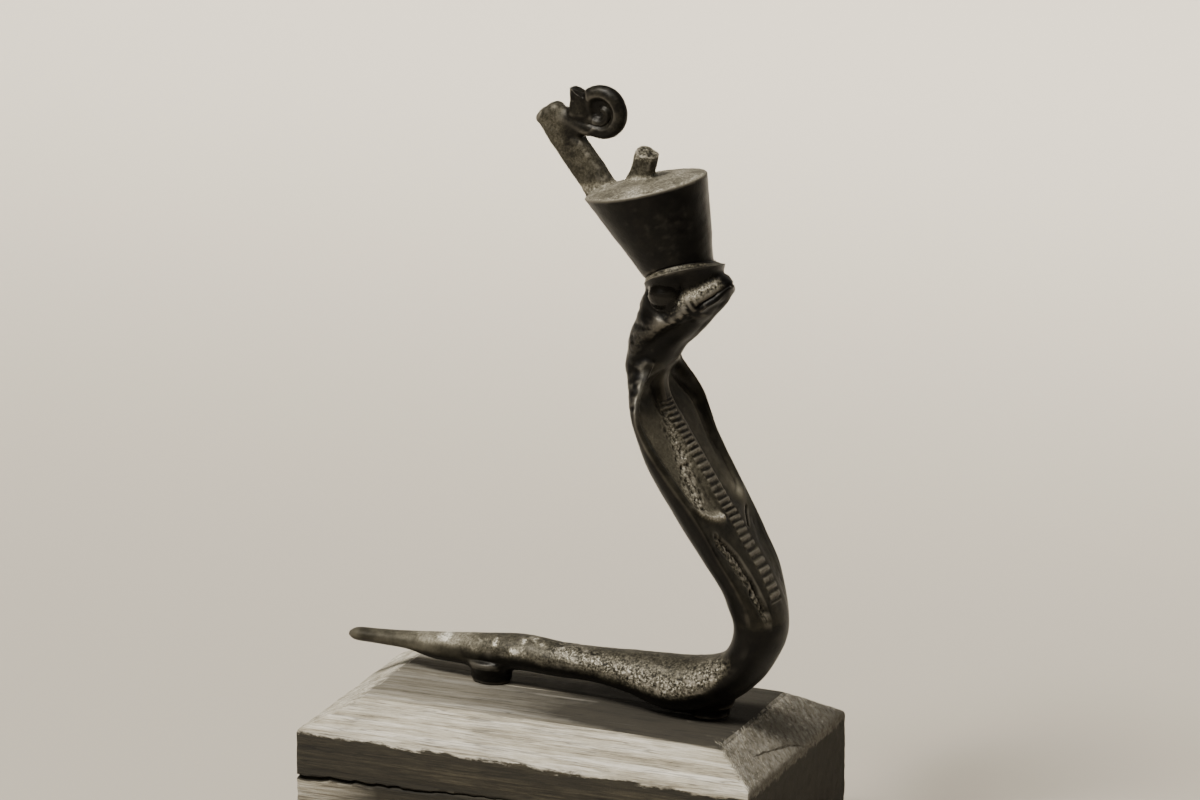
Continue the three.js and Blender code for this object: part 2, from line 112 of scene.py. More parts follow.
# The line of the hood's rims from the side, as heights and s.
HOOD_RIM = [(row[1], row[0]) for row in BODY_SECTIONS[15:29]]
# Lines on the casting: the eaten band of the right cell as side and z, the others as s and z.
LACE_LINE = [(-3.0, 91.5), (-4.7, 85.5), (-8.0, 78.0), (-10.2, 72.0), (-11.5, 67.5)]
FLANK_BAND = [(-46, 14), (-34, 13.4), (-23, 12.8), (-14, 11.5), (-7, 10.5), (0, 12), (6, 15), (10, 18), (15.4, 23)]
MOUTH = [(3.3, 127.7), (4.6, 129.0), (7.4, 130.9), (9.5, 133.0), (12.0, 135.4)]
JOWL = [(-1.6, 125.8), (-8.8, 121.6), (-14.2, 117.4), (-17.6, 112.8)]
FOLDS = [(-4.8, 124.7), (3.0, 129.0)]
EYE = {"s": -7.6, "side": 6.8, "z": 130.1, "radius": 5.4}
MUZZLE = [(-1.9, 129.6), (3.5, 132.2), (8.4, 135.4)]

# The Red Crown, on an axis that leans back.
CROWN_TILT_DEG = 14.0
COLLAR = {"s": -5.6, "z": 134.4, "radius": 12.2, "rise": 0.39, "roll": 0.18, "side_lift": 1.1, "back_in": 0.9}
# The collar's ledge slopes up to the cup by this height over this width at the front.
SHOULDER = {"height": 1.5, "width": 3.2}
CUP_BASE = {"s": -7.7, "z": 137.0, "radius": 10.75}
CUP_TOP = {"s": -17.9, "z": 159.3, "radius": 18.2, "dome": 1.8, "lip": 0.7}
CUP_SIDES = 112
DENTS = {"forward": (-4.6, 1.2), "count": 4, "low": 143.5, "pitch": 3.3, "depth": 0.16}
SPIKE = {
    "root": (-25.6, 151.6), "foot": (-31.0, 154.6), "head": (-50.8, 179.1),
    "deep": 9.1, "head_deep": 9.3, "thick": 6.2, "square": 3.6, "flare": 0.9, "rounding": 2.1,
}
STUMP = {
    "root": (-19.9, 157.4), "foot": (-19.6, 160.6), "head": (-17.4, 170.2),
    "deep": 6.5, "head_deep": 6.4, "thick": 5.0, "square": 4.0, "flare": 1.7, "rounding": 0.35,
}
CURL = {"s": -32.4, "z": 179.7, "radius": 5.75, "inner_radius": 0.4, "tube": 2.35, "inner_tube": 1.2, "web": 0.9}
CURL_LEAD = [(-50.0, 178.0, 3.3), (-46.0, 176.6, 3.3), (-42.0, 175.1, 3.1), (-38.4, 174.1, 2.7)]
CURL_TURN_DEG = {"start": -115, "hold": 150, "end": 440}
# The web between the spike's head and the curl: s, its lowest and highest z, and its thickness.
NECK = [(-49.5, 175.5, 179.3, 3.4), (-46, 173.5, 179.8, 4.0), (-42, 171.9, 179.9, 4.0), (-38, 171.6, 180.6, 3.7),
        (-35.5, 172.6, 180.4, 3.2)]
BROKEN_HORN = {"s": -39.6, "z": 178.5, "deep": 5.8, "thick": 4.8, "back": 7.8, "front": 4.6}
TAIL_PEG = {"s": -69.6, "side": -0.4, "deep": 6.4, "wide": 5.2, "top": 7}
BEND_PEG = {"s": 2.6, "side": 1.2, "deep": 6.6, "wide": 5.4, "top": 6}


def linear(hex_colour):
    """An sRGB hex value as linear red, green, blue and alpha."""
    channels = [int(hex_colour[i:i + 2], 16) / 255 for i in (1, 3, 5)]
    return [c / 12.92 if c <= 0.04045 else ((c + 0.055) / 1.055) ** 2.4 for c in channels] + [1.0]


def smoothstep(low, high, value):
    share = np.clip((value - low) / (high - low), 0, 1)
    return share * share * (3 - 2 * share)


def window(value, low, high, soft):
    """1 between low and high, falling to 0 over a soft distance outside each."""
    return smoothstep(low - soft, low, value) * (1 - smoothstep(high, high + soft, value))


def bump(distance, radius):
    return np.exp(-(distance / radius) ** 2)


# Noise over points in millimetres, from a hashed lattice, so that it is the same on each run.
def hashed(cell, seed):
    mixed = (cell[..., 0] * 73856093) ^ (cell[..., 1] * 19349663) ^ (cell[..., 2] * 83492791) ^ (seed * 2654435)
    mixed = (mixed ^ (mixed >> 13)) * 1274126177 & 0x7FFFFFFF
    return ((mixed ^ (mixed >> 16)) & 0xFFFF) / 65535.0


def noise(points, size, seed):
    """Smooth noise from -1 to 1 with lumps of a size in millimetres."""
    scaled = points / size
    cell = np.floor(scaled).astype(np.int64)
    share = scaled - cell
    fade = share * share * (3 - 2 * share)
    total = np.zeros(points.shape[:-1])
    for corner in range(8):
        offset = np.array([corner & 1, (corner >> 1) & 1, (corner >> 2) & 1])
        weight = np.prod(np.where(offset == 1, fade, 1 - fade), axis=-1)
        total += weight * hashed(cell + offset, seed)
    return 2 * total - 1


def rough_noise(points, size, seed, octaves=3):
    total = np.zeros(points.shape[:-1])
    for octave in range(octaves):
        total += noise(points, size / 2 ** octave, seed + octave) / 2 ** octave
    return total


def pits(points, size, seed):
    """The distance to the nearest of scattered points, as a share of their spacing."""
    scaled = points / size
    cell = np.floor(scaled).astype(np.int64)
    nearest = np.full(points.shape[:-1], 9.0)
    for dx in (-1, 0, 1):
        for dy in (-1, 0, 1):
            for dz in (-1, 0, 1):
                other = cell + np.array([dx, dy, dz])
                jitter = np.stack([hashed(other, seed + axis) for axis in range(3)], axis=-1)
                nearest = np.minimum(nearest, np.linalg.norm(other + jitter - scaled, axis=-1))
    return nearest


def near_line(points, line):
    """The distance from each point to a line through a few given points."""
    best = np.full(points.shape[:-1], 1e9)
    for start, end in zip(line[:-1], line[1:]):
        start, run = np.array(start, float), np.array(end, float) - np.array(start, float)
        share = np.clip(((points - start) @ run) / (run @ run), 0, 1)
        best = np.minimum(best, np.linalg.norm(points - start - share[..., None] * run, axis=-1))
    return best


def loft(name, rings):
    """A closed mesh object through rings of points in millimetres, with a fan over each end."""
    count, sides = rings.shape[:2]
    points = [*rings.reshape(-1, 3), rings[0].mean(axis=0), rings[-1].mean(axis=0)]
    last = (count - 1) * sides
    faces = []
    for side in range(sides):
        after = (side + 1) % sides
        faces += [(low + side, low + after, low + sides + after, low + sides + side)
                  for low in range(0, last, sides)]
        faces.append((after, side, count * sides))
        faces.append((last + side, last + after, count * sides + 1))
    mesh = bpy.data.meshes.new(name)
    mesh.from_pydata((np.array(points) * MM).tolist(), [], faces)
    face_out(mesh)
    made = bpy.data.objects.new(name, mesh)
    bpy.context.scene.collection.objects.link(made)
    return made


def face_out(mesh):
    shape = bmesh.new()
    shape.from_mesh(mesh)
    if shape.calc_volume(signed=True) < 0:
        bmesh.ops.reverse_faces(shape, faces=shape.faces)
        shape.to_mesh(mesh)
    shape.free()


def surface_normals(rings):
    """The direction square to the surface at each point of a closed run of rings."""
    along = np.gradient(rings, axis=0)
    around = np.roll(rings, -1, axis=1) - np.roll(rings, 1, axis=1)
    normals = np.cross(along, around)
    middles = rings.mean(axis=1, keepdims=True)
    inward = np.sum(normals * (rings - middles), axis=(1, 2)) < 0
    normals[inward] *= -1
    return normals / np.maximum(np.linalg.norm(normals, axis=2, keepdims=True), 1e-9)


# The body: rings of the sections above, then the carving laid on them.
def section_values(places):
    """The values of the sections at fractional places in their list, by smooth curves."""
    rows = np.array(BODY_SECTIONS, float)
    low = np.minimum(places.astype(int), len(rows) - 2)
    t = (places - low)[:, None]
    p0, p1, p2, p3 = (rows[np.clip(low + step, 0, len(rows) - 1)] for step in (-1, 0, 1, 2))
    ease = (2 * p0 - 5 * p1 + 4 * p2 - p3) * t ** 2
    bend = (3 * p1 - p0 - 3 * p2 + p3) * t ** 3
    return 0.5 * (2 * p1 + (p2 - p0) * t + ease + bend)


def body_places():
    places = [np.linspace(low, high, (high - low) * steps, endpoint=False) for low, high, steps in RING_STEPS]
    return np.append(np.concatenate(places), len(BODY_SECTIONS) - 1)


def body_sides():
    """The forward and sideways share of each point of a section, from the right rim round the belly."""
    right = np.linspace(-1, 0, RIGHT_BELLY_SIDES, endpoint=False)
    left = np.linspace(0, 1, LEFT_BELLY_SIDES, endpoint=False)
    turn = np.concatenate([right, left])
    share = 0.5 * np.sin(turn * math.pi / 2) + 0.5 * turn
    back = np.linspace(math.pi / 2, 3 * math.pi / 2, BACK_SIDES, endpoint=False)
    forward = np.concatenate([np.sqrt(1 - share ** 2), np.cos(back)])
    return forward, np.concatenate([share, np.sin(back)])


def ladder_relief(place, side, points):
    """The belly's plates, each rising to a sharp upper edge over a groove, and worn unevenly."""
    step = (LADDER["to"] - LADDER["from"]) / LADDER["rungs"]
    climb = (place - LADDER["from"]) / step + 0.08 * noise(points, 4, 9)
    width = np.interp(place, [LADDER["from"], LADDER["to"]], [LADDER["low_width"], LADDER["high_width"]])
    drift = np.interp(points[..., 2], *zip(*LADDER_DRIFT))
    across = np.abs(side - drift + 0.3 * noise(points, 3, 7)) / (width / 2)
    present = window(place, LADDER["from"], LADDER["to"], 0.12)
    up = climb - np.floor(climb)
    plate = smoothstep(0.05, 0.6, up) * (1 - smoothstep(0.72, 0.92, up)) - 0.25
    worn = np.clip(0.8 + 0.6 * noise(points, 2.4, 13), 0.3, 1.3)
    return present * LADDER["rise"] * worn * plate * (1 - smoothstep(0.75, 1.1, across))


def hood_zones(side, height, half):
    """The hood's front, as how much each point lies in the upper cell and in the lower strip."""
    out = np.abs(side)
    # The upper cell ends below in a rounded corner, and the lower strip is narrower.
    floor = 65.2 + 0.054 * np.maximum(0, out - 6) ** 2
    above = smoothstep(-0.3, 2.4, height - floor) * (1 - smoothstep(101, 107, height))
    throat = np.interp(height, [88, 100], [2.4, 1.4])
    cell = above * smoothstep(throat, throat + 2.8, out) * (1 - smoothstep(half - 4.4, half - 1.6, out))
    middle = np.interp(height, [34, 42, 48, 54, 60.5], [6.6, 8.0, 8.4, 9.4, 12.0])
    reach = np.interp(height, [34, 42, 54, 60.5], [1.0, 1.7, 2.3, 1.6])
    strip = (1 - smoothstep(reach - 0.9, reach + 0.9, np.abs(out - middle))) * window(height, 36, 59.5, 2)
    return floor, cell, strip, middle - reach


def lace_band(side, height):
    """How near a point lies to the slanting band of the right cell that corrosion has eaten."""
    return bump(near_line(np.stack([side, height], axis=-1), LACE_LINE), 2.7)


def hood_relief(share, side, height, half, points):
    """How far the hood's front stands out of its plain section, in millimetres."""
    near = np.abs(share)
    out = np.abs(side)
    right = np.where(side < 0, 1.0, 0.0)
    floor, cell, strip, strip_edge = hood_zones(side, height, half)
    # The cells are scooped, and run up into a deep hollow on each side of the throat.
    depth = np.interp(height, [66, 72, 92, 99, 104], [1.1, 1.5, 1.4, 2.7, 3.0])
    relief = -depth * cell - (0.15 + 0.45 * right) * strip
    # The raised lip round the cell's lower end, worn down on the left.
    relief += (0.12 + 0.8 * right) * bump(height - floor + 0.9, 1.0) * window(out, 4.6, 15.0, 1.5)
    relief -= 0.8 * right * bump(out - strip_edge - 0.1, 0.7) * window(height, 39, 57, 2.5)
    # On the left the hollow runs on down beside the rim as a groove.
    relief -= 0.6 * (1 - right) * window(height, 82, 98, 6) * window(out, half - 6.0, half - 3.2, 1.6)
    # The rim is a thin bead, boldest towards the top, where it starts from a small knob.
    bead = np.interp(height, [34, 50, 84, 92, 108, 110.5], [0.0, 0.04, 0.08, 0.65, 0.75, 0.0])
    relief += bead * bump((1 - near) * half - 0.9, 0.65)
    relief += 0.6 * bump(np.hypot(height - 109.0, out - 9.2), 1.1)
    relief -= 0.3 * bump((near - 0.72) / 0.3, 1) * window(height, 44, 63, 5)
    # Corrosion has eaten lacy ridges and holes into the right cell's band and the right strip.
    eaten = (0.12 + 0.88 * right) * np.clip(cell * (0.1 + lace_band(side, height)) + 0.7 * strip, 0, 1)
    long_ways = points * [1, 1, 0.6]
    lace = 1 - np.abs(noise(long_ways, 2.6, 5)) * 2
    holes = 1 - smoothstep(0.14, 0.38, pits(long_ways, 2.4, 11))
    fine = 1 - smoothstep(0.2, 0.5, pits(points, 1.1, 23))
    relief += eaten * (0.5 * lace - 1.1 * holes - 0.25 * fine + 0.2 * noise(points, 1.1, 17))
    relief += 0.13 * cell * rough_noise(points, 3.6, 19)
    # A small ring-shaped blister starts the lower strip, and a dark nick runs in from the left rim.
    blister = np.hypot(side + 12.0, height - 60.6)
    relief += 0.28 * bump(blister - 1.2, 0.6) - 0.2 * bump(blister, 0.7)
    nick = near_line(np.stack([side, height], axis=-1), [(10.8, 63.6), (8.7, 62.2), (6.2, 59.4)])
    return relief - 0.7 * bump(nick, 0.38)


def head_relief(points):
    """How far the head's and neck's carving stands out, alike on both sides."""
    s, out, z = points[..., 0], np.abs(points[..., 1]), points[..., 2]
    in_view = points[..., [0, 2]]
    mirrored = np.stack([s, out, z], axis=-1)
    eye = np.linalg.norm(mirrored - [EYE["s"], EYE["side"], EYE["z"]], axis=-1) - EYE["radius"]
    relief = -1.2 * bump(eye - 0.4, 0.7) + 0.2 * bump(eye - 1.9, 0.7)
    flank = smoothstep(1.0, 2.5, out)
    at_snout = smoothstep(7.5, 10.0, s)
    relief -= (0.9 - 0.55 * at_snout) * bump(near_line(in_view, MOUTH), 0.52)
    lip = [(along + 0.75, up - 1.0) for along, up in MOUTH]
    under_lip = [(along + 1.6, up - 2.1) for along, up in MOUTH]
    edge = flank * (1 - at_snout)
    relief += edge * (0.45 * bump(near_line(in_view, lip), 0.4) - 0.5 * bump(near_line(in_view, under_lip), 0.7))
    under_jowl = [(along + 2.0, up - 3.4) for along, up in JOWL]
    ridge = bump(near_line(in_view, JOWL), 2.5) * flank
    relief += 0.9 * ridge - 0.9 * bump(near_line(in_view, under_jowl), 1.9) * flank
    # Rows of small scales along the jowl, and short folds between the eye and the mouth's corner.
    relief -= 0.25 * ridge * (1 - smoothstep(0.3, 0.6, pits(points, 1.6, 27)))
    run = np.array([FOLDS[1][0] - FOLDS[0][0], FOLDS[1][1] - FOLDS[0][1]])
    along = (in_view - FOLDS[0]) @ (run / np.linalg.norm(run))
    folds = np.cos(2 * math.pi * along / 1.8)
    relief += 0.3 * folds * bump(near_line(in_view, FOLDS), 1.3) * flank
    scales = 1 - smoothstep(0.25, 0.6, pits(points, 1.2, 29))
    relief -= 0.13 * scales * bump(near_line(in_view, MUZZLE), 2.2) * flank
    # The throat has a narrow raised edge along its middle.
    throat = bump(out, 1.5) * window(z, 108, 128, 3) * (s > -9)
    return relief + 0.4 * throat


def body_rings():
    places = body_places()
    forward, share = body_sides()
    values = section_values(places)
    s, z, belly, front, back, half = (values[:, [i]] for i in range(6))
    facing = np.radians(belly)
    side = half * share
    depth = np.where(forward >= 0, front * forward, back * forward)

    def placed(depth):
        level = z + depth * np.sin(facing)
        return np.stack(np.broadcast_arrays(s + depth * np.cos(facing), side, level), axis=-1)

    plain = placed(depth)
    on_hood = smoothstep(32, 36, z) * (1 - smoothstep(109, 113, z)) * (places[:, None] > 14)
    on_belly = smoothstep(0.0, 0.12, forward)
    relief = hood_relief(share, side, plain[..., 2], half, plain)
    ladder = ladder_relief(np.broadcast_to(places[:, None], depth.shape), side, plain)
    shaped = placed(depth + on_belly * (on_hood * relief + ladder))
    on_head = smoothstep(106, 112, z)
    # The nape carries rough cross wrinkles.
    wrinkles = noise(shaped * [0.5, 0.25, 1], 2.0, 31) + 0.5 * noise(shaped, 1.3, 33)
    nape = window(z, 98, 124, 3) * (1 - smoothstep(-0.2, 0.3, forward)) * np.clip(wrinkles, -0.4, 1)
    # The whole skin is a little uneven from casting, and grainy where it is corroded.
    _, grit = skin(shaped)
    uneven = 0.14 * rough_noise(shaped, 9, 41, 2) + grit * 0.16 * rough_noise(shaped, 1.5, 43)
    pocks = (1 - smoothstep(0.15, 0.45, pits(shaped, 1.7, 51))) * grit
    stand_out = on_head * head_relief(shaped) - 0.35 * nape + uneven - 0.2 * pocks
    return shaped + surface_normals(shaped) * stand_out[..., None]


def skin(points):
    """How pale and how grainy the casting's skin is, each from 0 to 1."""
    s, side, z = points[..., 0], points[..., 1], points[..., 2]
    out = np.abs(side)
    in_view = points[..., [0, 2]]
    ragged = rough_noise(points, 7, 61)
    # The part that lies on the plinth is pale, most along a band on its flanks, and dark below.
    over_band = z - np.interp(s, *zip(*FLANK_BAND)) + 0.6 * ragged
    lying = (1 - smoothstep(19, 28, z + 2 * ragged)) * (1 - smoothstep(9, 18, s + ragged))
    lying = lying * smoothstep(-5.6, -2.6, over_band)
    wide = np.interp(s, [-46, -25, -12, 4, 15], [1.5, 2.0, 3.4, 3.6, 2.2])
    band = bump(near_line(in_view, FLANK_BAND) / wide, 1.0)
    tail = smoothstep(0.1, 0.9, rough_noise(points, 3, 67)) * window(s, -82, -54, 6)
    tail = tail * smoothstep(9, 12, z)
    pale = lying * (0.3 + 0.22 * band + 0.68 * tail)
    grit = lying * (0.25 + 0.75 * band + 0.6 * tail)
    # Its end is mottled olive-grey.
    pale = pale + (0.32 + 0.12 * ragged) * window(s, -118, -84, 20) * smoothstep(4.5, 7.5, z)
    # The hood's front, paler and rougher on the right.
    half = np.interp(z, [40, 50, 66, 80, 92, 100, 107], [12, 15, 16.5, 19, 20.3, 16.5, 11])
    before_rim = s - np.interp(z, *zip(*HOOD_RIM))
    flank = smoothstep(half - 2.0, half - 0.8, out) * (1 - smoothstep(-1.0, 0.3, before_rim))
    on_front = window(z, 34, 108, 2) * smoothstep(-4.5, -3.0, before_rim) * (1 - flank)
    floor, cell, strip, _ = hood_zones(side, z, half)
    right = np.where(side < 0, 1.0, 0.0)
    cell = cell * (1 - smoothstep(91, 98, z + ragged))
    lace = lace_band(side, z) * cell
    # The right cell's lower lip is painted pale as a highlight where it faces up to the light, and a small patch on the
    # left side is a painted highlight.
    lip = bump(z - floor + 0.5, 1.3) * window(out, 5, 14, 1.5)
    far_highlight = bump(np.hypot(side - 11.5, (z - 67) / 1.8), 2.6)
    drift = np.interp(z, *zip(*LADDER_DRIFT))
    plates = window(np.abs(side - drift), 0, 2.8, 1.0) * window(z, 40, 96, 2)
    pale = pale + on_front * (right * (0.26 * cell + 0.16 * lace + 0.17 * strip + 0.6 * lip)
                              + (1 - right) * (0.14 * cell + 0.35 * far_highlight) + 0.16 + 0.12 * plates)
    grit = grit + on_front * (right * (0.12 * cell + 0.5 * lace + 0.5 * strip + 0.4 * lip) + 0.2 * plates)
    # The head's muzzle and jowls.
    muzzle = bump(near_line(in_view, MUZZLE), 2.0) * smoothstep(1.5, 4, out)
    jowl = bump(near_line(in_view, JOWL), 2.4) * smoothstep(3, 6, out)
    chin = bump(out, 1.3) * window(z, 109, 130, 3) * smoothstep(-10, -8, s)
    pale = pale + 0.5 * muzzle + 0.08 * jowl + 0.2 * chin
    grit = grit + 0.75 * muzzle + 0.4 * jowl + 0.5 * chin
    # The crown: its collar's ledge and its top, paler partly with dust and partly as painted highlight where they face
    # up, and its spike.
    over_edge = z - collar_level(s, side)
    ledge_dust_and_highlight = window(over_edge, 0.1, SHOULDER["height"] - 0.3, 0.4)
    ledge_dust_and_highlight = ledge_dust_and_highlight * smoothstep(8.0, 9.4, np.hypot(s - COLLAR["s"], side))
    above = up_from_cup(s, z)
    wall = smoothstep(136, 140, z) * (1 - smoothstep(-1.2, -0.4, above))
    nape = window(z, 96, 126, 4) * (1 - smoothstep(-14, -10, s + 0.5 * np.maximum(0, 122 - z)))
    top = smoothstep(-0.3, 0.7, above) * (1 - smoothstep(2.6, 4.6, above + 0.5 * ragged))
    curl = smoothstep(168, 173, z) * smoothstep(-46, -42, s)
    spike = smoothstep(2.6, 5, above) * (0.3 + 0.08 * ragged) * (1 - 0.7 * curl)
    broken = window(z, 168, 172, 1) * window(s, -22, -12, 1)
    pale = pale + 0.42 * ledge_dust_and_highlight + (0.6 + 0.12 * ragged) * top + spike + 0.2 * broken - 0.1 * wall - 0.12 * nape
    grit = grit + 0.5 * ledge_dust_and_highlight + 0.35 * top + 0.6 * spike + 0.4 * broken
    return np.clip(pale, 0, 1), np.clip(grit, 0, 1)


def up_from_cup(s, z):
    """The height over the plane of the cup's top."""
    tilt = math.radians(CROWN_TILT_DEG)
    return (z - CUP_TOP["z"]) * math.cos(tilt) - (s - CUP_TOP["s"]) * math.sin(tilt)


def placed_in_plane(centre, forward, side, lean):
    """Points at distances forward and to the side of a centre in the cobra's plane."""
    return np.stack([
        centre[0] + forward * math.cos(lean),
        side,
        centre[1] + forward * math.sin(lean),
    ], axis=-1)


def collar_level(s, side):
    """The height of the collar's ledge, which tips up at the front and towards the right."""
    forward = s - COLLAR["s"]
    lift = COLLAR["side_lift"] * side ** 2 / (forward ** 2 + side ** 2 + 1)
    return COLLAR["z"] + COLLAR["rise"] * forward - COLLAR["roll"] * side + lift


def collar_ring(up, inward):
    """A ring of the collar, at a height over its ledge and a distance in from its edge at the front."""
    angle = np.linspace(0, 2 * math.pi, CUP_SIDES, endpoint=False)
    front = 0.5 + 0.5 * np.cos(angle)
    narrow = 0.15 + 0.85 * front ** 2 if up > -1 else 1.0 - 0.75 * front ** 4
    radius = COLLAR["radius"] - inward * narrow - COLLAR["back_in"] * (1 - front) ** 3
    s, side = COLLAR["s"] + radius * np.cos(angle), radius * np.sin(angle)
    return np.stack([s, side, collar_level(s, side) + up], axis=-1)


# The crown's cup and collar, as one lathe-like run of tilted rings.
def crown_ring(centre, radius):
    angle = np.linspace(0, 2 * math.pi, CUP_SIDES, endpoint=False)
    return placed_in_plane(centre, radius * np.cos(angle), radius * np.sin(angle), math.radians(CROWN_TILT_DEG))


def above_collar(ring):
    """Lifts the points of one of the cup's rings that would lie in the collar's ledge to just above it."""
    ledge = collar_level(ring[:, 0], ring[:, 1]) + SHOULDER["height"] + 0.1
    softness = 0.5
    ring[:, 2] = ledge + softness * np.logaddexp(0, (ring[:, 2] - ledge) / softness)
    return ring


def up_crown(part, distance):
    tilt = math.radians(CROWN_TILT_DEG)
    return part["s"] - distance * math.sin(tilt), part["z"] + distance * math.cos(tilt)


def crown_rings():
    # The collar's section as heights and distances in from its edge, from its underside to its edge.
    collar = [(-5.0, 5.0), (-3.4, 2.6), (-2.3, 1.3), (-1.7, 0.6), (-1.1, 0.15), (-0.8, 0.03), (-0.5, 0.0),
              (-0.15, 0.02), (0.0, 0.15)]
    for share in (0.12, 0.26, 0.4, 0.55, 0.7, 0.85, 1.0):
        collar.append((SHOULDER["height"] * share ** 1.4, 0.15 + (SHOULDER["width"] - 0.15) * share))
    rings = [collar_ring(up, inward) for up, inward in collar]
    steps = 50
    for share in np.linspace(-0.1, 1, steps):
        middle = [CUP_BASE[key] + (CUP_TOP[key] - CUP_BASE[key]) * share for key in ("s", "z")]
        wide = CUP_BASE["radius"] + (CUP_TOP["radius"] - CUP_BASE["radius"]) * share
        wide += 0.5 * math.exp(-(share + 0.1) / 0.05)
        rings.append(above_collar(crown_ring(middle, wide)))
    lip = CUP_TOP["lip"]
    for turn in (0.3, 0.6, 0.85):
        drop = lip * (1 - math.cos(turn * math.pi / 2))
        rings.append(crown_ring(up_crown(CUP_TOP, lip * math.sin(turn * math.pi / 2)), CUP_TOP["radius"] - drop))
    for share in np.linspace(0.95, 0.04, 26):
        rise = lip + CUP_TOP["dome"] * (1 - share ** 2)
        rings.append(crown_ring(up_crown(CUP_TOP, rise), CUP_TOP["radius"] * share))
    rings = np.array(rings)
    # Casting lumps all over, and two worn rows of faint dents down the right of the wall.
    lumps = 0.12 * rough_noise(rings, 7, 63) + 0.05 * rough_noise(rings, 1.6, 65)
    for row, forward in enumerate(DENTS["forward"]):
        for dent in range(DENTS["count"]):
            level = DENTS["low"] + DENTS["pitch"] * dent + 1.3 * row
            off = np.stack([(rings[..., 0] - forward + 0.3 * (level - DENTS["low"])) / 1.5,
                            (rings[..., 2] - level) / 0.9], axis=-1) + 0.35 * noise(rings, 2.0, 69)[..., None]
            ring_dent = bump(np.linalg.norm(off, axis=-1) - 0.7, 0.45)
            lumps -= DENTS["depth"] * ring_dent * (rings[..., 1] < -8)
    return rings + surface_normals(rings) * lumps[..., None]


def oblong(deep, thick, square, count=80):
    """A rounded oblong as distances forward and to the side, squarer for a larger third value."""
    angle = np.linspace(0, 2 * math.pi, 721)
    corner = np.stack([np.cos(angle), np.sin(angle)])
    outline = np.sign(corner) * np.abs(corner) ** (2 / square) * [[deep / 2], [thick / 2]]
    length = np.append(0, np.cumsum(np.linalg.norm(np.diff(outline, axis=1), axis=0)))
    evenly = np.linspace(0, length[-1], count, endpoint=False)
    return np.interp(evenly, length, outline[0]), np.interp(evenly, length, outline[1])


def roughened(rings, amount, size, seed):
    return rings + surface_normals(rings) * (amount * rough_noise(rings, size, seed))[..., None]


def bar_rings(part, broken):
    """An upright bar with a buried root and a flared foot; a broken head is left rough and slanting."""
    foot, head = np.array(part["foot"]), np.array(part["head"])
    lean = math.atan2(head[1] - foot[1], head[0] - foot[0]) - math.pi / 2
    root = oblong(part["deep"] * 0.6, part["thick"] * 0.8, part["square"])
    rings = [placed_in_plane(part["root"], *root, lean)]
    steps = int(np.linalg.norm(head - foot) / 0.45)
    rounding = part["rounding"]
    for share in np.linspace(0, 1, steps):
        left = (1 - share) * np.linalg.norm(head - foot)
        curve = 1 - math.sqrt(max(0, 1 - max(0, 1 - left / rounding) ** 2))
        grow = part["flare"] * math.exp(-share * steps * 0.45 / 1.3) - rounding * curve
        deep = part["deep"] + (part["head_deep"] - part["deep"]) * share + 2 * grow
        outline = oblong(deep, part["thick"] + 2 * grow, part["square"])
        rings.append(placed_in_plane(foot + (head - foot) * share, *outline, lean))
    rings += [rings[-1] * share + rings[-1].mean(axis=0) * (1 - share) for share in (0.8, 0.6, 0.4, 0.2)]
    rings = roughened(np.array(rings), 0.22, 4, 71)
    rings = roughened(rings, 0.07, 1.2, 72)
    if broken:
        top = smoothstep(head[1] - 2.0, head[1] - 0.4, rings[..., 2])
        forward = np.clip((rings[..., 0] - head[0]) / part["deep"] + 0.5, 0, 1)
        right = np.clip(0.5 - rings[..., 1] / part["thick"], 0, 1)
        cells = 1 - smoothstep(0.15, 0.5, pits(rings * [1, 1, 0], 1.7, 75))
        rings[..., 2] += top * (0.3 * noise(rings * [1, 1, 0], 2.3, 73) - 0.35 * cells - 2.2 * forward * right)
    return rings


def curl_path():
    """The curl's middle line and thickness: out of the spike's head, once round and winding in."""
    start, hold, end = (CURL_TURN_DEG[key] for key in ("start", "hold", "end"))
    path = list(CURL_LEAD)
    for turn in np.linspace(start, end, 40):
        wind = max(0.0, (turn - hold) / (end - hold)) ** 0.85
        radius = CURL["radius"] + (CURL["inner_radius"] - CURL["radius"]) * wind
        tube = CURL["tube"] + (CURL["inner_tube"] - CURL["tube"]) * wind
        angle = math.radians(turn)
        path.append((CURL["s"] + radius * math.cos(angle), CURL["z"] + radius * math.sin(angle), tube))
    return np.array(path)


def curl_rings():
    """The curl as a round bar along its path."""
    path = curl_path()
    places = np.linspace(0, len(path) - 1, 230)
    line = np.stack([np.interp(places, np.arange(len(path)), column) for column in path.T], axis=1)
    for _ in range(6):
        line[1:-1] = 0.5 * line[1:-1] + 0.25 * (line[:-2] + line[2:])
    run = np.gradient(line[:, :2], axis=0)
    run /= np.linalg.norm(run, axis=1, keepdims=True)
    around = np.linspace(0, 2 * math.pi, 30, endpoint=False)
    outward = line[:, [2]] * np.cos(around)
    rings = np.stack([
        line[:, [0]] - run[:, [1]] * outward,
        line[:, [2]] * np.sin(around) * 1.02,
        line[:, [1]] + run[:, [0]] * outward,
    ], axis=-1)
    return roughened(rings, 0.1, 3, 77)


def web_rings():
    """The round web that fills the curl, thinner at its middle on each face."""
    around = np.linspace(0, 2 * math.pi, 60, endpoint=False)
    half = CURL["web"] / 2
    spans = [(share, -half + 0.3 * (1 - share ** 2)) for share in (0.1, 0.4, 0.7, 1.0)]
    spans += [(share, -side) for share, side in reversed(spans)]
    return np.array([
        np.stack([
            CURL["s"] + CURL["radius"] * share * np.cos(around),
            np.full(len(around), side),
            CURL["z"] + CURL["radius"] * share * np.sin(around),
        ], axis=-1)
        for share, side in spans
    ])


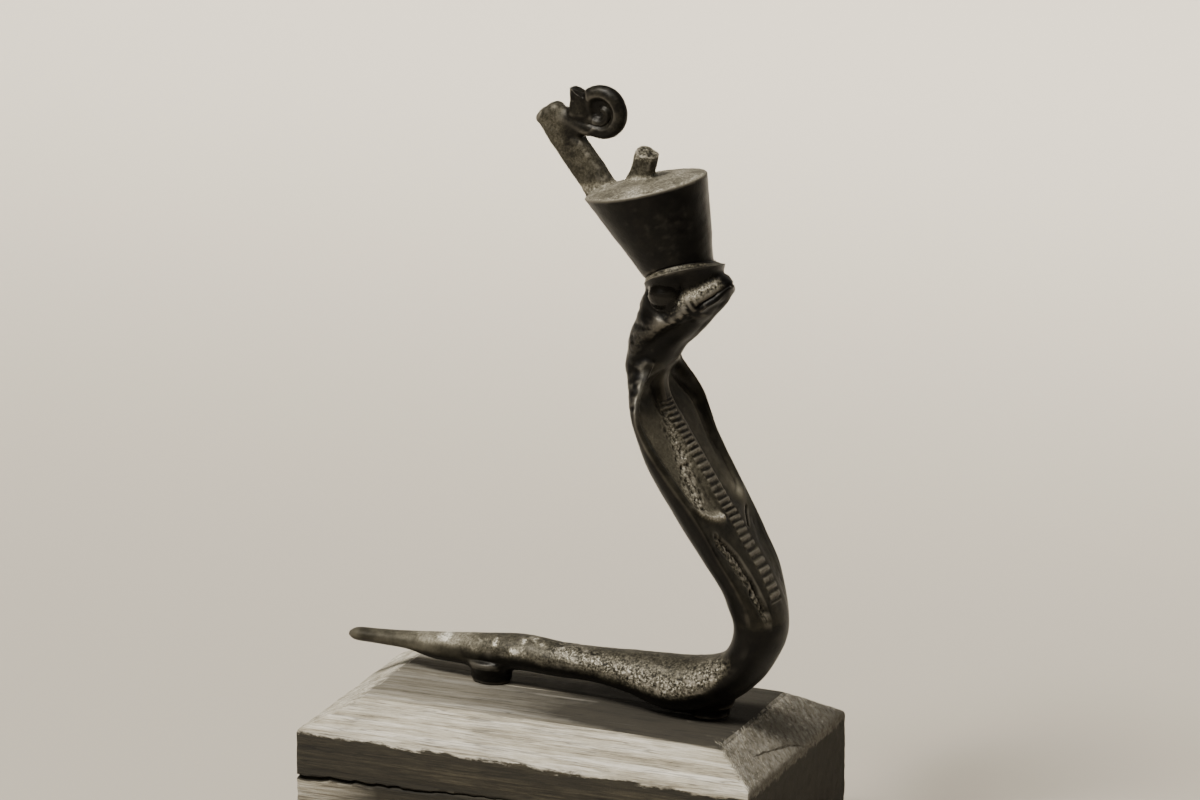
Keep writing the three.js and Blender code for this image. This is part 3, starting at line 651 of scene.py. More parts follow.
def ball_rings(centre, radius, sides=48, levels=28):
    around = np.linspace(0, 2 * math.pi, sides, endpoint=False)
    rings = []
    for level in np.linspace(-0.97, 0.97, levels) * math.pi / 2:
        flat = radius * math.cos(level)
        rings.append(np.stack([
            centre[0] + flat * np.cos(around),
            centre[1] + flat * np.sin(around),
            np.full(sides, centre[2] + radius * math.sin(level)),
        ], axis=-1))
    return np.array(rings)


def horn_rings():
    """The stub between the spike and the curl, broken off on a rough slope."""
    s, z, deep, thick, back, front = (BROKEN_HORN[key] for key in ("s", "z", "deep", "thick", "back", "front"))
    rings = []
    for rise in np.linspace(-1.0, back, 26):
        spread = 1.4 * math.exp(-max(0, rise) / 1.2)
        outline = oblong(deep + spread, thick + 0.6 * spread, 3.4, 64)
        rings.append(placed_in_plane((s, z + rise), *outline, 0.0))
    rings += [rings[-1] * share + rings[-1].mean(axis=0) * (1 - share) for share in (0.75, 0.5, 0.25)]
    rings = np.array(rings)
    slope = z + back - (back - front) * np.clip((rings[..., 0] - s) / deep + 0.5, 0, 1)
    slope += 0.35 * noise(rings * [1, 1, 0], 1.9, 83)
    over = rings[..., 2] > slope
    rings[over, 2] = slope[over] + 0.02 * (rings[over, 2] - slope[over])
    return roughened(rings, 0.16, 2.4, 79)


def neck_rings():
    """The web that fills the corner between the spike's head, the curl and the broken horn."""
    rings = []
    for s in np.linspace(NECK[0][0], NECK[-1][0], 22):
        low, high, thick = (np.interp(s, [row[0] for row in NECK], [row[i] for row in NECK]) for i in (1, 2, 3))
        upward, side = oblong(high - low, thick, 3.0, 64)
        rings.append(np.stack([np.full(64, s), side, (low + high) / 2 + upward], axis=-1))
    return roughened(np.array(rings), 0.12, 3, 85)


def peg_rings(part):
    """An oval peg that flares where it leaves the body."""
    around = np.linspace(0, 2 * math.pi, 64, endpoint=False)
    rings = []
    for share in np.linspace(0, 1, 18):
        wide = 1 + 0.3 * smoothstep(0.35, 1.0, share) - 0.08 * (1 - smoothstep(0, 0.2, share))
        level = REST_GAP + (part["top"] - REST_GAP) * share
        rings.append(np.stack([
            part["s"] + part["deep"] * wide * np.cos(around),
            part["side"] + part["wide"] * wide * np.sin(around),
            np.full(len(around), level),
        ], axis=-1))
    rings = np.array(rings)
    wobble = 0.14 * rough_noise(rings, 3, 81)[..., None] * [1, 1, 0]
    return rings + surface_normals(rings) * wobble


def in_place(points):
    """Points from the cobra's own plane to the whole object's frame."""
    low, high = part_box("plinth")
    turn = math.radians(COBRA_TURN_DEG)
    s, side, z = points[..., 0], points[..., 1], points[..., 2]
    x = (low.x + high.x) / 2 / MM + COBRA_FOOT[0] + s * math.cos(turn) - side * math.sin(turn)
    y = COBRA_FOOT[1] + s * math.sin(turn) + side * math.cos(turn)
    return np.stack([x, y, z + PLINTH_HEIGHT], axis=-1)


def from_place(points):
    """The reverse: points of the whole object's frame to the cobra's own plane."""
    low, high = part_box("plinth")
    turn = math.radians(COBRA_TURN_DEG)
    x = points[..., 0] - (low.x + high.x) / 2 / MM - COBRA_FOOT[0]
    y = points[..., 1] - COBRA_FOOT[1]
    s = x * math.cos(turn) + y * math.sin(turn)
    side = -x * math.sin(turn) + y * math.cos(turn)
    return np.stack([s, side, points[..., 2] - PLINTH_HEIGHT], axis=-1)


def combine(first, second, operation):
    """Joins or cuts the first mesh with the second, and removes the second."""
    modifier = first.modifiers.new("combine", "BOOLEAN")
    modifier.operation = operation
    modifier.object = second
    modifier.solver = "MANIFOLD"
    evaluated = first.evaluated_get(bpy.context.evaluated_depsgraph_get())
    result = bpy.data.meshes.new_from_object(evaluated)
    first.modifiers.clear()
    first.data = result
    bpy.data.objects.remove(second)
    return first


def coordinates(mesh):
    flat = np.zeros(len(mesh.vertices) * 3)
    mesh.vertices.foreach_get("co", flat)
    return flat.reshape(-1, 3) / MM


def edge_ends(mesh):
    pairs = np.zeros(len(mesh.edges) * 2, np.int64)
    mesh.edges.foreach_get("vertices", pairs)
    return pairs.reshape(-1, 2).T


def neighbour_mean(ends, values):
    """The mean of each point's neighbours' values."""
    first, second = ends
    count = np.bincount(first, minlength=len(values)) + np.bincount(second, minlength=len(values))
    columns = values.reshape(len(values), -1).T
    total = [np.bincount(first, column[second], len(values)) + np.bincount(second, column[first], len(values))
             for column in columns]
    return (np.array(total) / np.maximum(count, 1)).T.reshape(values.shape)


def store(mesh, name, values):
    attribute = mesh.attributes.new(name, "FLOAT", "POINT")
    attribute.data.foreach_set("value", values.astype(np.float32))


def casting():
    """The whole bronze as one closed mesh, with the seams between its parts filleted."""
    rings = {
        "crown": crown_rings(),
        "spike": bar_rings(SPIKE, broken=False),
        "stump": bar_rings(STUMP, broken=True),
        "curl": curl_rings(),
        "web": web_rings(),
        "neck": neck_rings(),
        "horn": horn_rings(),
        "tail_peg": peg_rings(TAIL_PEG),
        "bend_peg": peg_rings(BEND_PEG),
    }
    for hand, name in ((-1, "right_eye"), (1, "left_eye")):
        rings[name] = ball_rings((EYE["s"], hand * EYE["side"], EYE["z"]), EYE["radius"])
    whole = loft("cobra_bronze", in_place(body_rings()))
    given = [coordinates(whole.data)]
    for name, part in rings.items():
        added = loft(name, in_place(part))
        given.append(coordinates(added.data))
        combine(whole, added, "UNION")
    fillet_seams(whole.data, np.concatenate(given))
    return whole


def fillet_seams(mesh, given):
    """Softens the mesh round each point that the joining has made."""
    points = coordinates(mesh)
    known = {tuple(key) for key in np.rint(given * 2000).astype(np.int64)}
    seam = np.array([tuple(key) not in known for key in np.rint(points * 2000).astype(np.int64)])
    low_z = from_place(points)[:, 2]
    ends = edge_ends(mesh)
    weight = seam.astype(float) * (low_z > REST_GAP + 0.2)
    for _ in range(5):
        weight = np.maximum(weight, 0.86 * neighbour_spread(ends, weight))
    for _ in range(24):
        points += 0.6 * weight[:, None] * (neighbour_mean(ends, points) - points)
    mesh.vertices.foreach_set("co", (points * MM).ravel())
    mesh.update()


def neighbour_spread(ends, values):
    """The largest of each point's neighbours' values."""
    first, second = ends
    spread = np.zeros_like(values)
    np.maximum.at(spread, first, values[second])
    np.maximum.at(spread, second, values[first])
    return spread


def mark_skin(bronze):
    """Stores where the casting is pale and gritty, where painted shade darkens its hollows, and where its raised edges
    are paler with wear and painted highlight, for its material.
    """
    mesh = bronze.data
    points = coordinates(mesh)
    ends = edge_ends(mesh)
    normals = np.zeros(len(points) * 3)
    mesh.vertices.foreach_get("normal", normals)
    smooth = points
    for _ in range(6):
        smooth = neighbour_mean(ends, smooth)
    proud = np.sum((points - smooth) * normals.reshape(-1, 3), axis=1)
    around = proud
    for _ in range(30):
        around = neighbour_mean(ends, around)
    placed = from_place(points)
    pale, grit = skin(placed)
    mirrored = np.stack([placed[:, 0], np.abs(placed[:, 1]), placed[:, 2]], axis=-1)
    eyeball = np.linalg.norm(mirrored - [EYE["s"], EYE["side"], EYE["z"]], axis=-1) < EYE["radius"] + 0.3
    store(mesh, "pale", pale)
    store(mesh, "grit", grit)
    s, out, z = placed[:, 0], np.abs(placed[:, 1]), placed[:, 2]
    # The nape, the hood's lower rims and the crown's wall get little of the paler edges of wear and painted highlight,
    # so they stay dark right up to their edges.
    nape = window(z, 92, 127, 3) * (1 - smoothstep(-10.5, -6.5, s + 0.5 * np.maximum(0, 122 - z)))
    rim = window(z, 40, 82, 5) * bump(s - np.interp(z, *zip(*HOOD_RIM)), 2.0) * smoothstep(10, 12, out)
    wall = window(z, 139, 170, 2) * (1 - smoothstep(-1.2, -0.4, up_from_cup(s, z)))
    in_curl = 1 - smoothstep(2.6, 3.8, np.hypot(s - CURL["s"], z - CURL["z"]))
    dark = 1 - np.maximum.reduce([0.8 * nape, 0.8 * rim, 0.7 * wall, 0.5 * in_curl])
    # Painted shade: points that lie lower than their surroundings and the inside of the curl; the eyeballs are marked
    # to be darkened too.
    shade_in_hollows = np.maximum.reduce([smoothstep(0.01, 0.14, around - proud), 1.45 * eyeball, 0.9 * in_curl])
    # Raised edges are paler, partly as wear and partly as painted highlight.
    store(mesh, "wear_and_highlight", smoothstep(0.01, 0.12, proud - around) * dark)
    store(mesh, "hollow_shade", shade_in_hollows)


# The plinth: rings from the underside's middle up the sides, over the bevels to the top's middle.
def plinth_outline():
    """Points round the plinth as shares of its length and width, closer together near its corners."""
    corners = [(0, 0), (1, 0), (1, 1), (0, 1)]
    outline = []
    for corner, (x, y) in enumerate(corners):
        next_x, next_y = corners[(corner + 1) % 4]
        steps = 132 if corner % 2 == 0 else 78
        for step in range(steps):
            share = step / steps
            share = share - 0.12 * math.sin(2 * math.pi * share) / (2 * math.pi) * 2
            outline.append((x + (next_x - x) * share, y + (next_y - y) * share))
    return np.array(outline)


def plinth_ring(outline, z, rise):
    """One ring at a height, where rise is how far up the bevel it lies, and beyond 1 how far in the top."""
    up = min(rise, 1)
    low_x = -PLINTH_LENGTH / 2 + BEVEL_RUN["tail_end"] * up
    high_x = PLINTH_LENGTH / 2 - BEVEL_RUN["head_end"] * up
    low_y = -PLINTH_WIDTH / 2 + BEVEL_RUN["front"] * up
    high_y = PLINTH_WIDTH / 2 - BEVEL_RUN["back"] * up
    inward = max(rise - 1, 0) * (high_y - low_y) / 2 * 0.985
    x = low_x + inward + (high_x - low_x - 2 * inward) * outline[:, 0]
    y = low_y + inward + (high_y - low_y - 2 * inward) * outline[:, 1]
    return np.stack([x, y, np.full(len(x), z)], axis=-1)


def plinth_rings():
    outline = plinth_outline()
    edge = PLINTH_HEIGHT - BEVEL_DROP
    rings = [plinth_ring(outline, 0, 0) * [share, share, 1] for share in (0.25, 0.5, 0.75, 0.97)]
    rings += [plinth_ring(outline, z, 0) for z in edge * np.linspace(0, 1, 44, endpoint=False)]
    rings += [plinth_ring(outline, edge + BEVEL_DROP * up, up) for up in np.linspace(0, 1, 34, endpoint=False)]
    rings += [plinth_ring(outline, PLINTH_HEIGHT, 1 + inward) for inward in np.linspace(0, 1, 34)]
    return np.array(rings)


def plinth_planes():
    """The outward directions and distances of the plinth's ten faces."""
    half_x, half_y, edge = PLINTH_LENGTH / 2, PLINTH_WIDTH / 2, PLINTH_HEIGHT - BEVEL_DROP
    planes = [((0, 0, -1), 0.0), ((0, 0, 1), PLINTH_HEIGHT)]
    sides = [
        ((-1, 0), half_x, "tail_end"), ((1, 0), half_x, "head_end"),
        ((0, -1), half_y, "front"), ((0, 1), half_y, "back"),
    ]
    for (x, y), reach, name in sides:
        planes.append(((x, y, 0), reach))
        run = BEVEL_RUN[name]
        length = math.hypot(BEVEL_DROP, run)
        slope = (x * BEVEL_DROP / length, y * BEVEL_DROP / length, run / length)
        planes.append((slope, reach * BEVEL_DROP / length + edge * run / length))
    return planes


def rounded_block(points, sharpness):
    """Draws points in from the sharp edges, so that each edge is rounded by about 1 / sharpness."""
    planes = plinth_planes()
    directions = np.array([direction for direction, _ in planes])
    for _ in range(2):
        reach = points @ directions.T - np.array([distance for _, distance in planes])
        weight = np.exp(sharpness * (reach - reach.max(axis=-1, keepdims=True)))
        over = reach.max(axis=-1) + np.log(weight.sum(axis=-1)) / sharpness
        outward = (weight @ directions) / weight.sum(axis=-1, keepdims=True)
        points = points - outward * (over / np.maximum(np.sum(outward ** 2, axis=-1), 0.2))[..., None]
    return points


def grain(points):
    """Long ridges along the wood's length, in millimetres of height."""
    stretched = points * [0.03, 1, 1]
    return 0.10 * noise(stretched, 0.9, 91) + 0.16 * noise(stretched, 2.6, 93) + 0.2 * noise(points * [0.2, 1, 1], 9, 95)


def plinth_block():
    rings = plinth_rings()
    normals = surface_normals(rings)
    low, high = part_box("plinth")
    shaped = rounded_block(rings, 2.2)
    shown = smoothstep(0, 4, shaped[..., 2])[..., None]
    shaped = shaped + normals * shown * (grain(shaped) - 0.12)[..., None]
    shaped[..., 0] += (low.x + high.x) / 2 / MM
    return loft("wooden_plinth", shaped)


def crack(line, widths, depth, inward):
    """A thin jagged wedge along a line on the plinth's skin, to be cut out of it."""
    line = np.array(line, float)
    inward = np.array(inward, float) / np.linalg.norm(inward)
    fine = []
    for start, end in zip(line[:-1], line[1:]):
        steps = max(2, int(np.linalg.norm(end - start) / 1.1))
        fine += [start + (end - start) * step / steps for step in range(steps)]
    fine = np.array(fine + [line[-1]])
    run = np.gradient(fine, axis=0)
    across = np.cross(run, inward)
    across /= np.linalg.norm(across, axis=1, keepdims=True)
    jag = 0.35 * noise(fine, 1.7, 101)[:, None] * across
    wide = np.interp(np.linspace(0, 1, len(fine)), np.linspace(0, 1, len(widths)), widths)[:, None] / 2
    outside = fine + jag - inward * 0.6
    bottom = fine + jag + inward * depth
    rings = np.stack([outside - across * wide * 1.3, outside + across * wide * 1.3,
                      bottom + across * wide * 0.15, bottom - across * wide * 0.15], axis=1)
    return rings


def plinth():
    block = plinth_block()
    low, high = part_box("plinth")
    middle = (low.x + high.x) / 2 / MM
    edge = PLINTH_HEIGHT - BEVEL_DROP
    right = middle + PLINTH_LENGTH / 2
    front = -PLINTH_WIDTH / 2
    head_slope = (-BEVEL_DROP, 0, -BEVEL_RUN["head_end"])
    cuts = [
        # The split that opens across the bevel at the head's end.
        ([(right - 6.7, -19.2, 41.8), (right - 5.2, -11.6, 40.9), (right - 4.4, -8.1, 40.5), (right - 2.8, -1.1, 39.6),
          (right - 1.4, 2.7, 38.8), (right + 0.3, 4.6, 37.9)],
         (0.1, 0.7, 0.5, 0.9, 0.8, 0.7), 3.0, head_slope),
        # The long split along the front, which closes towards the head's end.
        ([(middle - PLINTH_LENGTH / 2 - 0.5, front, 23.4), (middle - 60, front, 24.1), (middle - 46, front, 24.1),
          (middle - 33, front, 24.2), (middle - 16, front, 25.0), (middle + 6, front, 25.4)],
         (1.5, 1.2, 0.9, 0.7, 0.4, 0.1), 3.5, (0, 1, 0)),
    ]
    for line, widths, depth, inward in cuts:
        combine(block, loft("crack", crack(line, widths, depth, inward)), "DIFFERENCE")
    return block


# Materials.
def node(tree, kind, inputs=None, stops=None, **settings):
    """Adds one node: its settings, its sockets' values or links, and the stops of a colour ramp."""
    made = tree.nodes.new(kind)
    for name, value in settings.items():
        setattr(made, name, value)
    for key, value in (inputs or {}).items():
        if isinstance(value, bpy.types.NodeSocket):
            tree.links.new(value, made.inputs[key])
        else:
            made.inputs[key].default_value = value
    for index, (place, colour) in enumerate(stops or []):
        element = made.color_ramp.elements[index] if index < 2 else made.color_ramp.elements.new(place)
        element.position = place
        element.color = colour
    return made


def new_material(name):
    material = bpy.data.materials.new(name)
    material.use_nodes = True
    material.node_tree.nodes.clear()
    return material, material.node_tree


def patinated_bronze():
    """Cast bronze under an old dark patina: brown-black and dull satin where the skin is whole, and olive-grey, chalky
    and grainy where it is corroded, with raised edges paler partly from wear and partly as painted highlight, and
    painted shade in its hollows."""
    material, tree = new_material("patinated_bronze")
    place = node(tree, "ShaderNodeTexCoord").outputs["Object"]
    pale, grit, wear_and_highlight, hollow_shade = (
        node(tree, "ShaderNodeAttribute", attribute_name=name).outputs["Fac"]
        for name in ("pale", "grit", "wear_and_highlight", "hollow_shade"))
    # Mottling in patches of about 5 mm, and corrosion grains of about 0.6 mm.
    mottle = node(tree, "ShaderNodeTexNoise", {"Vector": place, "Scale": 200.0, "Detail": 5.0, "Roughness": 0.62})
    grains = node(tree, "ShaderNodeTexNoise", {"Vector": place, "Scale": 1400.0, "Detail": 3.0, "Roughness": 0.7})
    specks = node(tree, "ShaderNodeMath", {
        0: grains.outputs["Fac"], 1: 3.4, 2: -1.75}, operation="MULTIPLY_ADD")
    patchy = node(tree, "ShaderNodeMath", {
        0: mottle.outputs["Fac"], 1: 0.5, 2: pale}, operation="MULTIPLY_ADD")
    level = node(tree, "ShaderNodeMath", {
        0: specks.outputs[0], 1: grit, 2: patchy.outputs[0]}, operation="MULTIPLY_ADD")
    share = node(tree, "ShaderNodeMapRange", {
        "Value": level.outputs[0], "From Min": 0.22, "From Max": 1.22})
    tone = node(tree, "ShaderNodeValToRGB", {"Fac": share.outputs[0]}, stops=[
        (0.0, linear("#080706")), (0.12, linear("#15130f")), (0.3, linear("#37342b")), (0.5, linear("#5b574b")),
        (0.72, linear("#8a8577")), (1.0, linear("#dad6ca"))])
    # Raised edges are mixed paler, partly as wear and partly as painted highlight.
    wear_and_highlight_amount = node(tree, "ShaderNodeMath", {0: grit, 1: 0.4, 2: 0.24}, operation="MULTIPLY_ADD")
    worn = node(tree, "ShaderNodeMath", {0: wear_and_highlight, 1: wear_and_highlight_amount.outputs[0]}, operation="MULTIPLY")
    with_wear_and_highlight = node(tree, "ShaderNodeMix", {
        "Factor": worn.outputs[0], "A": tone.outputs[0], "B": linear("#969084")}, data_type="RGBA")
    # Painted shade: the hollows and the inside of the curl are darkened, and the eyes with them.
    shade_in_hollows = node(tree, "ShaderNodeMath", {0: hollow_shade, 1: 0.6}, operation="MULTIPLY")
    coloured = node(tree, "ShaderNodeMix", {
        "Factor": shade_in_hollows.outputs[0], "A": with_wear_and_highlight.outputs["Result"], "B": linear("#0d0b08")}, data_type="RGBA")
    skin_rough = node(tree, "ShaderNodeMapRange", {
        "Value": share.outputs[0], "To Min": 0.38, "To Max": 0.66})
    # The eyes, the only place where the hollow shade mark goes beyond 1, have kept a smooth shine.
    polish = node(tree, "ShaderNodeMapRange", {
        "Value": hollow_shade, "From Min": 1.1, "From Max": 1.4, "To Min": 1.0, "To Max": 0.6})
    rough = node(tree, "ShaderNodeMath", {0: skin_rough.outputs[0], 1: polish.outputs[0]}, operation="MULTIPLY")
    bite = node(tree, "ShaderNodeMapRange", {"Value": grit, "To Min": 0.15, "To Max": 0.6})
    fine = node(tree, "ShaderNodeBump", {
        "Height": grains.outputs["Fac"], "Strength": bite.outputs[0], "Distance": 0.0003})
    waves = node(tree, "ShaderNodeBump", {
        "Height": mottle.outputs["Fac"], "Strength": 0.25, "Distance": 0.0005, "Normal": fine.outputs[0]})
    shader = node(tree, "ShaderNodeBsdfPrincipled", {
        "Base Color": coloured.outputs["Result"], "Roughness": rough.outputs[0], "Metallic": 0.3,
        "Specular IOR Level": 0.2, "Normal": waves.outputs[0]})
    node(tree, "ShaderNodeOutputMaterial", {"Surface": shader.outputs[0]})
    return material


def weathered_wood():
    """Old dry wood: bleached and brushed pale on the bevel in front, darker on top and at the head's end, partly with
    dirt and partly with painted shadow of the casting and painted shade, and dark brown with dirt on its upright sides,
    with fibres along its length."""
    material, tree = new_material("weathered_wood")
    place = node(tree, "ShaderNodeTexCoord").outputs["Object"]
    axes = node(tree, "ShaderNodeSeparateXYZ", {"Vector": place})
    facing = node(tree, "ShaderNodeSeparateXYZ", {"Vector": node(tree, "ShaderNodeNewGeometry").outputs["True Normal"]})
    # Fibres 0.7 mm apart, a little coarser than the real ones so that they show, growth rings
    # 2.5 mm apart, and thin dark splits along them.
    stretched = node(tree, "ShaderNodeMapping", {"Vector": place, "Scale": (0.045, 1.0, 1.0)})
    fibres = node(tree, "ShaderNodeTexNoise", {
        "Vector": stretched.outputs[0], "Scale": 1500.0, "Detail": 6.0, "Roughness": 0.85})
    rings = node(tree, "ShaderNodeTexNoise", {
        "Vector": stretched.outputs[0], "Scale": 420.0, "Detail": 3.0, "Roughness": 0.5})
    blotch = node(tree, "ShaderNodeTexNoise", {"Vector": place, "Scale": 70.0, "Detail": 6.0, "Roughness": 0.62})
    faint = node(tree, "ShaderNodeMath", {0: rings.outputs["Fac"], 1: 0.55, 2: 0.22}, operation="MULTIPLY_ADD")
    along = node(tree, "ShaderNodeMath", {0: fibres.outputs["Fac"], 1: faint.outputs[0]}, operation="MULTIPLY")
    # On the bevel at the head's end the marks of the cutting run with its slanting front edge.
    slanting = node(tree, "ShaderNodeMapping", {
        "Vector": place, "Scale": (14.0, 1.0, 1.0),
        "Rotation": (0, 0, -math.atan2(BEVEL_RUN["front"], BEVEL_RUN["head_end"]))}, vector_type="TEXTURE")
    marks = node(tree, "ShaderNodeTexNoise", {
        "Vector": slanting.outputs[0], "Scale": 900.0, "Detail": 4.0, "Roughness": 0.7})
    cut = node(tree, "ShaderNodeMath", {0: marks.outputs["Fac"], 1: 0.5}, operation="MULTIPLY")
    up_facing = node(tree, "ShaderNodeMapRange", {"Value": facing.outputs["Z"], "From Min": 0.2, "From Max": 0.4})
    end_facing = node(tree, "ShaderNodeMapRange", {"Value": facing.outputs["X"], "From Min": 0.25, "From Max": 0.4})
    on_bevel = node(tree, "ShaderNodeMath", {0: up_facing.outputs[0], 1: end_facing.outputs[0]}, operation="MULTIPLY")
    streaks = node(tree, "ShaderNodeMix", {"Factor": on_bevel.outputs[0], "A": along.outputs[0], "B": cut.outputs[0]})
    lines = node(tree, "ShaderNodeTexNoise", {
        "Vector": stretched.outputs[0], "Scale": 330.0, "Detail": 3.0, "Roughness": 0.6})
    off = node(tree, "ShaderNodeMath", {0: lines.outputs["Fac"], 1: 0.5}, operation="SUBTRACT")
    away = node(tree, "ShaderNodeMath", {0: off.outputs[0]}, operation="ABSOLUTE")
    splits = node(tree, "ShaderNodeMapRange", {
        "Value": away.outputs[0], "From Min": 0.004, "From Max": 0.02, "To Min": 0.55, "To Max": 1.0})
    bleached = node(tree, "ShaderNodeValToRGB", {"Fac": streaks.outputs["Result"]}, stops=[
        (0.15, linear("#5c5545")), (0.2, linear("#a09886")), (0.25, linear("#bbb4a3")), (0.32, linear("#e2ddd1"))])
    dirty = node(tree, "ShaderNodeValToRGB", {"Fac": streaks.outputs["Result"]}, stops=[
        (0.14, linear("#181510")), (0.27, linear("#343025")), (0.4, linear("#5b5444"))])
    # The worn part reaches a little below the bevel's edge, with a ragged border.
    ragged = node(tree, "ShaderNodeTexNoise", {
        "Vector": node(tree, "ShaderNodeMapping", {"Vector": place, "Scale": (0.25, 1.0, 1.0)}).outputs[0],
        "Scale": 420.0, "Detail": 6.0, "Roughness": 0.7})
    border = node(tree, "ShaderNodeMapRange", {
        "Value": axes.outputs["X"], "From Min": -0.07, "From Max": 0.075, "To Min": 0.0376, "To Max": 0.0352})
    wander = node(tree, "ShaderNodeMath", {
        0: ragged.outputs["Fac"], 1: 0.007, 2: border.outputs[0]}, operation="MULTIPLY_ADD")
    height = node(tree, "ShaderNodeMath", {0: axes.outputs["Z"], 1: wander.outputs[0]}, operation="SUBTRACT")
    above = node(tree, "ShaderNodeMapRange", {
        "Value": height.outputs[0], "From Min": -0.0038, "From Max": -0.0030})
    # In front, the wood below the long split is worn pale too near the tail's end.
    below = node(tree, "ShaderNodeMapRange", {
        "Value": height.outputs[0], "From Min": -0.0168, "From Max": -0.0180})
    fading = node(tree, "ShaderNodeMapRange", {
        "Value": height.outputs[0], "From Min": -0.034, "From Max": -0.022, "To Max": 0.7})
    near_end = node(tree, "ShaderNodeMapRange", {
        "Value": axes.outputs["X"], "From Min": -0.044, "From Max": -0.064})
    in_front = node(tree, "ShaderNodeMapRange", {
        "Value": facing.outputs["Y"], "From Min": -0.5, "From Max": -0.9})
    band = node(tree, "ShaderNodeMath", {0: below.outputs[0], 1: fading.outputs[0]}, operation="MULTIPLY")
    corner = node(tree, "ShaderNodeMath", {0: near_end.outputs[0], 1: in_front.outputs[0]}, operation="MULTIPLY")
    under_split = node(tree, "ShaderNodeMath", {0: band.outputs[0], 1: corner.outputs[0]}, operation="MULTIPLY")
    worn = node(tree, "ShaderNodeMath", {0: above.outputs[0], 1: under_split.outputs[0]}, operation="MAXIMUM")
    coloured = node(tree, "ShaderNodeMix", {
        "Factor": worn.outputs[0], "A": dirty.outputs[0], "B": bleached.outputs[0]}, data_type="RGBA")
    # The flat top is darkened under and around the casting, most towards the head's end, and so are that end's bevel
    # and side: partly dirt, and partly painted shadow of the casting and painted shade on the end that faces away from
    # the light. The casting lies along a line that slants a little over the top.
    flat = node(tree, "ShaderNodeMapRange", {"Value": facing.outputs["Z"], "From Min": 0.9, "From Max": 0.985})
    toward_head_end = node(tree, "ShaderNodeMapRange", {
        "Value": axes.outputs["X"], "From Min": -0.03, "From Max": 0.045, "To Min": 0.68, "To Max": 1.25})
    slant = node(tree, "ShaderNodeMath", {
        0: axes.outputs["X"], 1: math.tan(-math.radians(COBRA_TURN_DEG)), 2: axes.outputs["Y"]},
        operation="MULTIPLY_ADD")
    near_and_behind_casting = node(tree, "ShaderNodeMapRange", {"Value": slant.outputs[0], "From Min": -0.036, "From Max": -0.02})
    dirt_and_shadow = node(tree, "ShaderNodeMath", {0: near_and_behind_casting.outputs[0], 1: toward_head_end.outputs[0]}, operation="MULTIPLY")
    patchy = node(tree, "ShaderNodeMapRange", {
        "Value": blotch.outputs["Fac"], "From Min": 0.35, "From Max": 0.65, "To Min": 0.9, "To Max": 1.1})
    top_dirt_and_shadow = node(tree, "ShaderNodeMath", {0: flat.outputs[0], 1: dirt_and_shadow.outputs[0]}, operation="MULTIPLY")
    end_dirt_and_shade = node(tree, "ShaderNodeMapRange", {
        "Value": facing.outputs["X"], "From Min": 0.25, "From Max": 0.45, "To Max": 0.78})
    dirt_and_shade = node(tree, "ShaderNodeMath", {0: top_dirt_and_shadow.outputs[0], 1: end_dirt_and_shade.outputs[0]}, operation="MAXIMUM")
    grime_and_shadow = node(tree, "ShaderNodeMath", {0: dirt_and_shade.outputs[0], 1: patchy.outputs[0]},
                 operation="MULTIPLY", use_clamp=True)
    # Dirt mixed with painted shadow and shade: the darkened parts take this dark colour.
    dirtied_and_shadowed = node(tree, "ShaderNodeMix", {
        "Factor": grime_and_shadow.outputs[0], "A": coloured.outputs["Result"], "B": linear("#332f26")}, data_type="RGBA")
    soil = node(tree, "ShaderNodeMapRange", {
        "Value": blotch.outputs["Fac"], "From Min": 0.3, "From Max": 0.75, "To Min": 0.78, "To Max": 1.12})
    split = node(tree, "ShaderNodeMath", {0: soil.outputs[0], 1: splits.outputs[0]}, operation="MULTIPLY")
    soiled = node(tree, "ShaderNodeMix", {
        "Factor": 1.0, "A": dirtied_and_shadowed.outputs["Result"], "B": split.outputs[0]},
        data_type="RGBA", blend_type="MULTIPLY")
    bumps = node(tree, "ShaderNodeBump", {
        "Height": streaks.outputs["Result"], "Strength": 0.8, "Distance": 0.0008})
    shader = node(tree, "ShaderNodeBsdfPrincipled", {
        "Base Color": soiled.outputs["Result"], "Roughness": 0.82, "Normal": bumps.outputs[0]})
    node(tree, "ShaderNodeOutputMaterial", {"Surface": shader.outputs[0]})
    return material


def paper_floor():
    """Matte pale paper."""
    material, tree = new_material("paper_floor")
    shader = node(tree, "ShaderNodeBsdfPrincipled", {"Base Color": linear("#beb7ab"), "Roughness": 0.95, "Specular IOR Level": 0.2})
    node(tree, "ShaderNodeOutputMaterial", {"Surface": shader.outputs[0]})
    return material


# The stage: camera, light and floor.
def add_camera():
    data = bpy.data.cameras.new("camera")
    data.lens = 255.6
    data.sensor_width = 36.0
    camera = bpy.data.objects.new("camera", data)
    camera.location = (0.91516, -2.20418, 0.86986)
    camera.rotation_euler = (math.radians(72.93), 0, math.radians(22.31))
    bpy.context.scene.collection.objects.link(camera)
    bpy.context.scene.camera = camera


def add_light(name, place, target, size, power, colour, spread_deg):
    data = bpy.data.lights.new(name, "AREA")
    data.shape = "RECTANGLE"
    data.size, data.size_y = size
    data.energy = power
    data.spread = math.radians(spread_deg)
    data.color = linear(colour)[:3]
    light = bpy.data.objects.new(name, data)
    light.location = place
    light.rotation_euler = (Vector(target) - Vector(place)).to_track_quat("-Z", "Y").to_euler()
    bpy.context.scene.collection.objects.link(light)


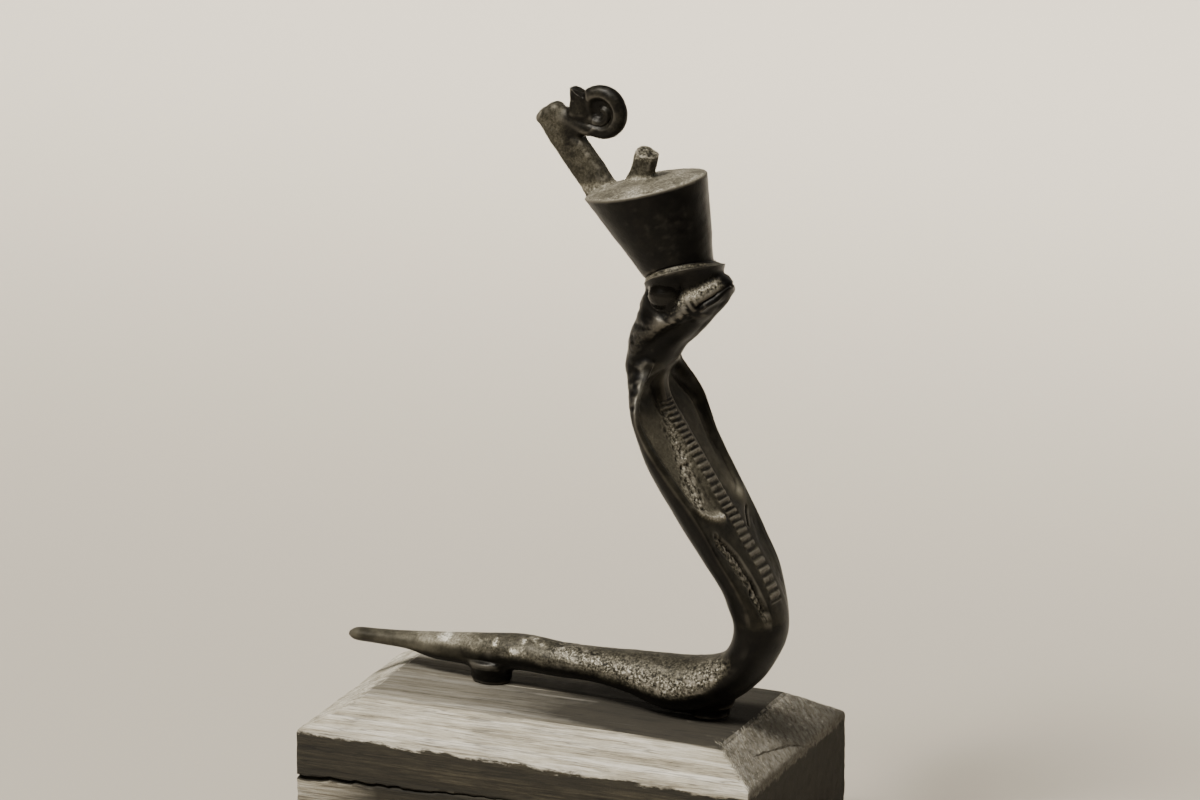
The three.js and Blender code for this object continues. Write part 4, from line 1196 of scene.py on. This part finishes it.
def add_world():
    """A dim room with a broad pale wall behind the object, as directions and not as where a camera is."""
    world = bpy.data.worlds.new("studio")
    world.use_nodes = True
    tree = world.node_tree
    axes = node(tree, "ShaderNodeSeparateXYZ", {"Vector": node(tree, "ShaderNodeTexCoord").outputs["Generated"]})
    behind = node(tree, "ShaderNodeMapRange", {
        "Value": axes.outputs["Y"], "From Min": 0.1, "From Max": 0.7}, interpolation_type="SMOOTHSTEP")
    high = node(tree, "ShaderNodeMapRange", {
        "Value": axes.outputs["Z"], "From Min": 0.35, "From Max": 0.75, "To Min": 1.0, "To Max": 0.0},
        interpolation_type="SMOOTHSTEP")
    wall = node(tree, "ShaderNodeMath", {0: behind.outputs[0], 1: high.outputs[0]}, operation="MULTIPLY")
    strength = node(tree, "ShaderNodeMapRange", {
        "Value": wall.outputs[0], "To Min": 0.17, "To Max": 0.75})
    background = tree.nodes["Background"]
    background.inputs["Color"].default_value = linear("#c4bdb0")
    tree.links.new(strength.outputs[0], background.inputs["Strength"])
    bpy.context.scene.world = world


def add_stage():
    size = 30.0
    mesh = bpy.data.meshes.new("floor")
    mesh.from_pydata([(-size, -size, 0), (size, -size, 0), (size, size, 0), (-size, size, 0)], [], [(0, 1, 2, 3)])
    floor = bpy.data.objects.new("floor", mesh)
    mesh.materials.append(paper_floor())
    bpy.context.scene.collection.objects.link(floor)
    middle = Vector((0, 0, 0.12))
    add_light("key", middle + Vector((-0.3, -0.48, 0.82)) * 1.9, middle, (0.55, 0.55), 56.0, "#fffaf0", 180)
    add_light("top", middle + Vector((0.1, -0.3, 1.0)) * 1.8, middle, (1.0, 1.0), 14.0, "#fffaf0", 180)
    add_light("backdrop", (-0.15, 1.0, 1.5), (-0.15, 1.0, 0), (1.8, 0.8), 18.0, "#fffaf0", 60)


def dress(made, material, node_name):
    mesh = made.data
    mesh.materials.clear()
    mesh.materials.append(material)
    mesh.polygons.foreach_set("use_smooth", [True] * len(mesh.polygons))
    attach(made, "root")
    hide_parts(node_name)


add_camera()
bronze = casting()
mark_skin(bronze)
dress(bronze, patinated_bronze(), "cobra")
dress(plinth(), weathered_wood(), "plinth")
add_world()
add_stage()
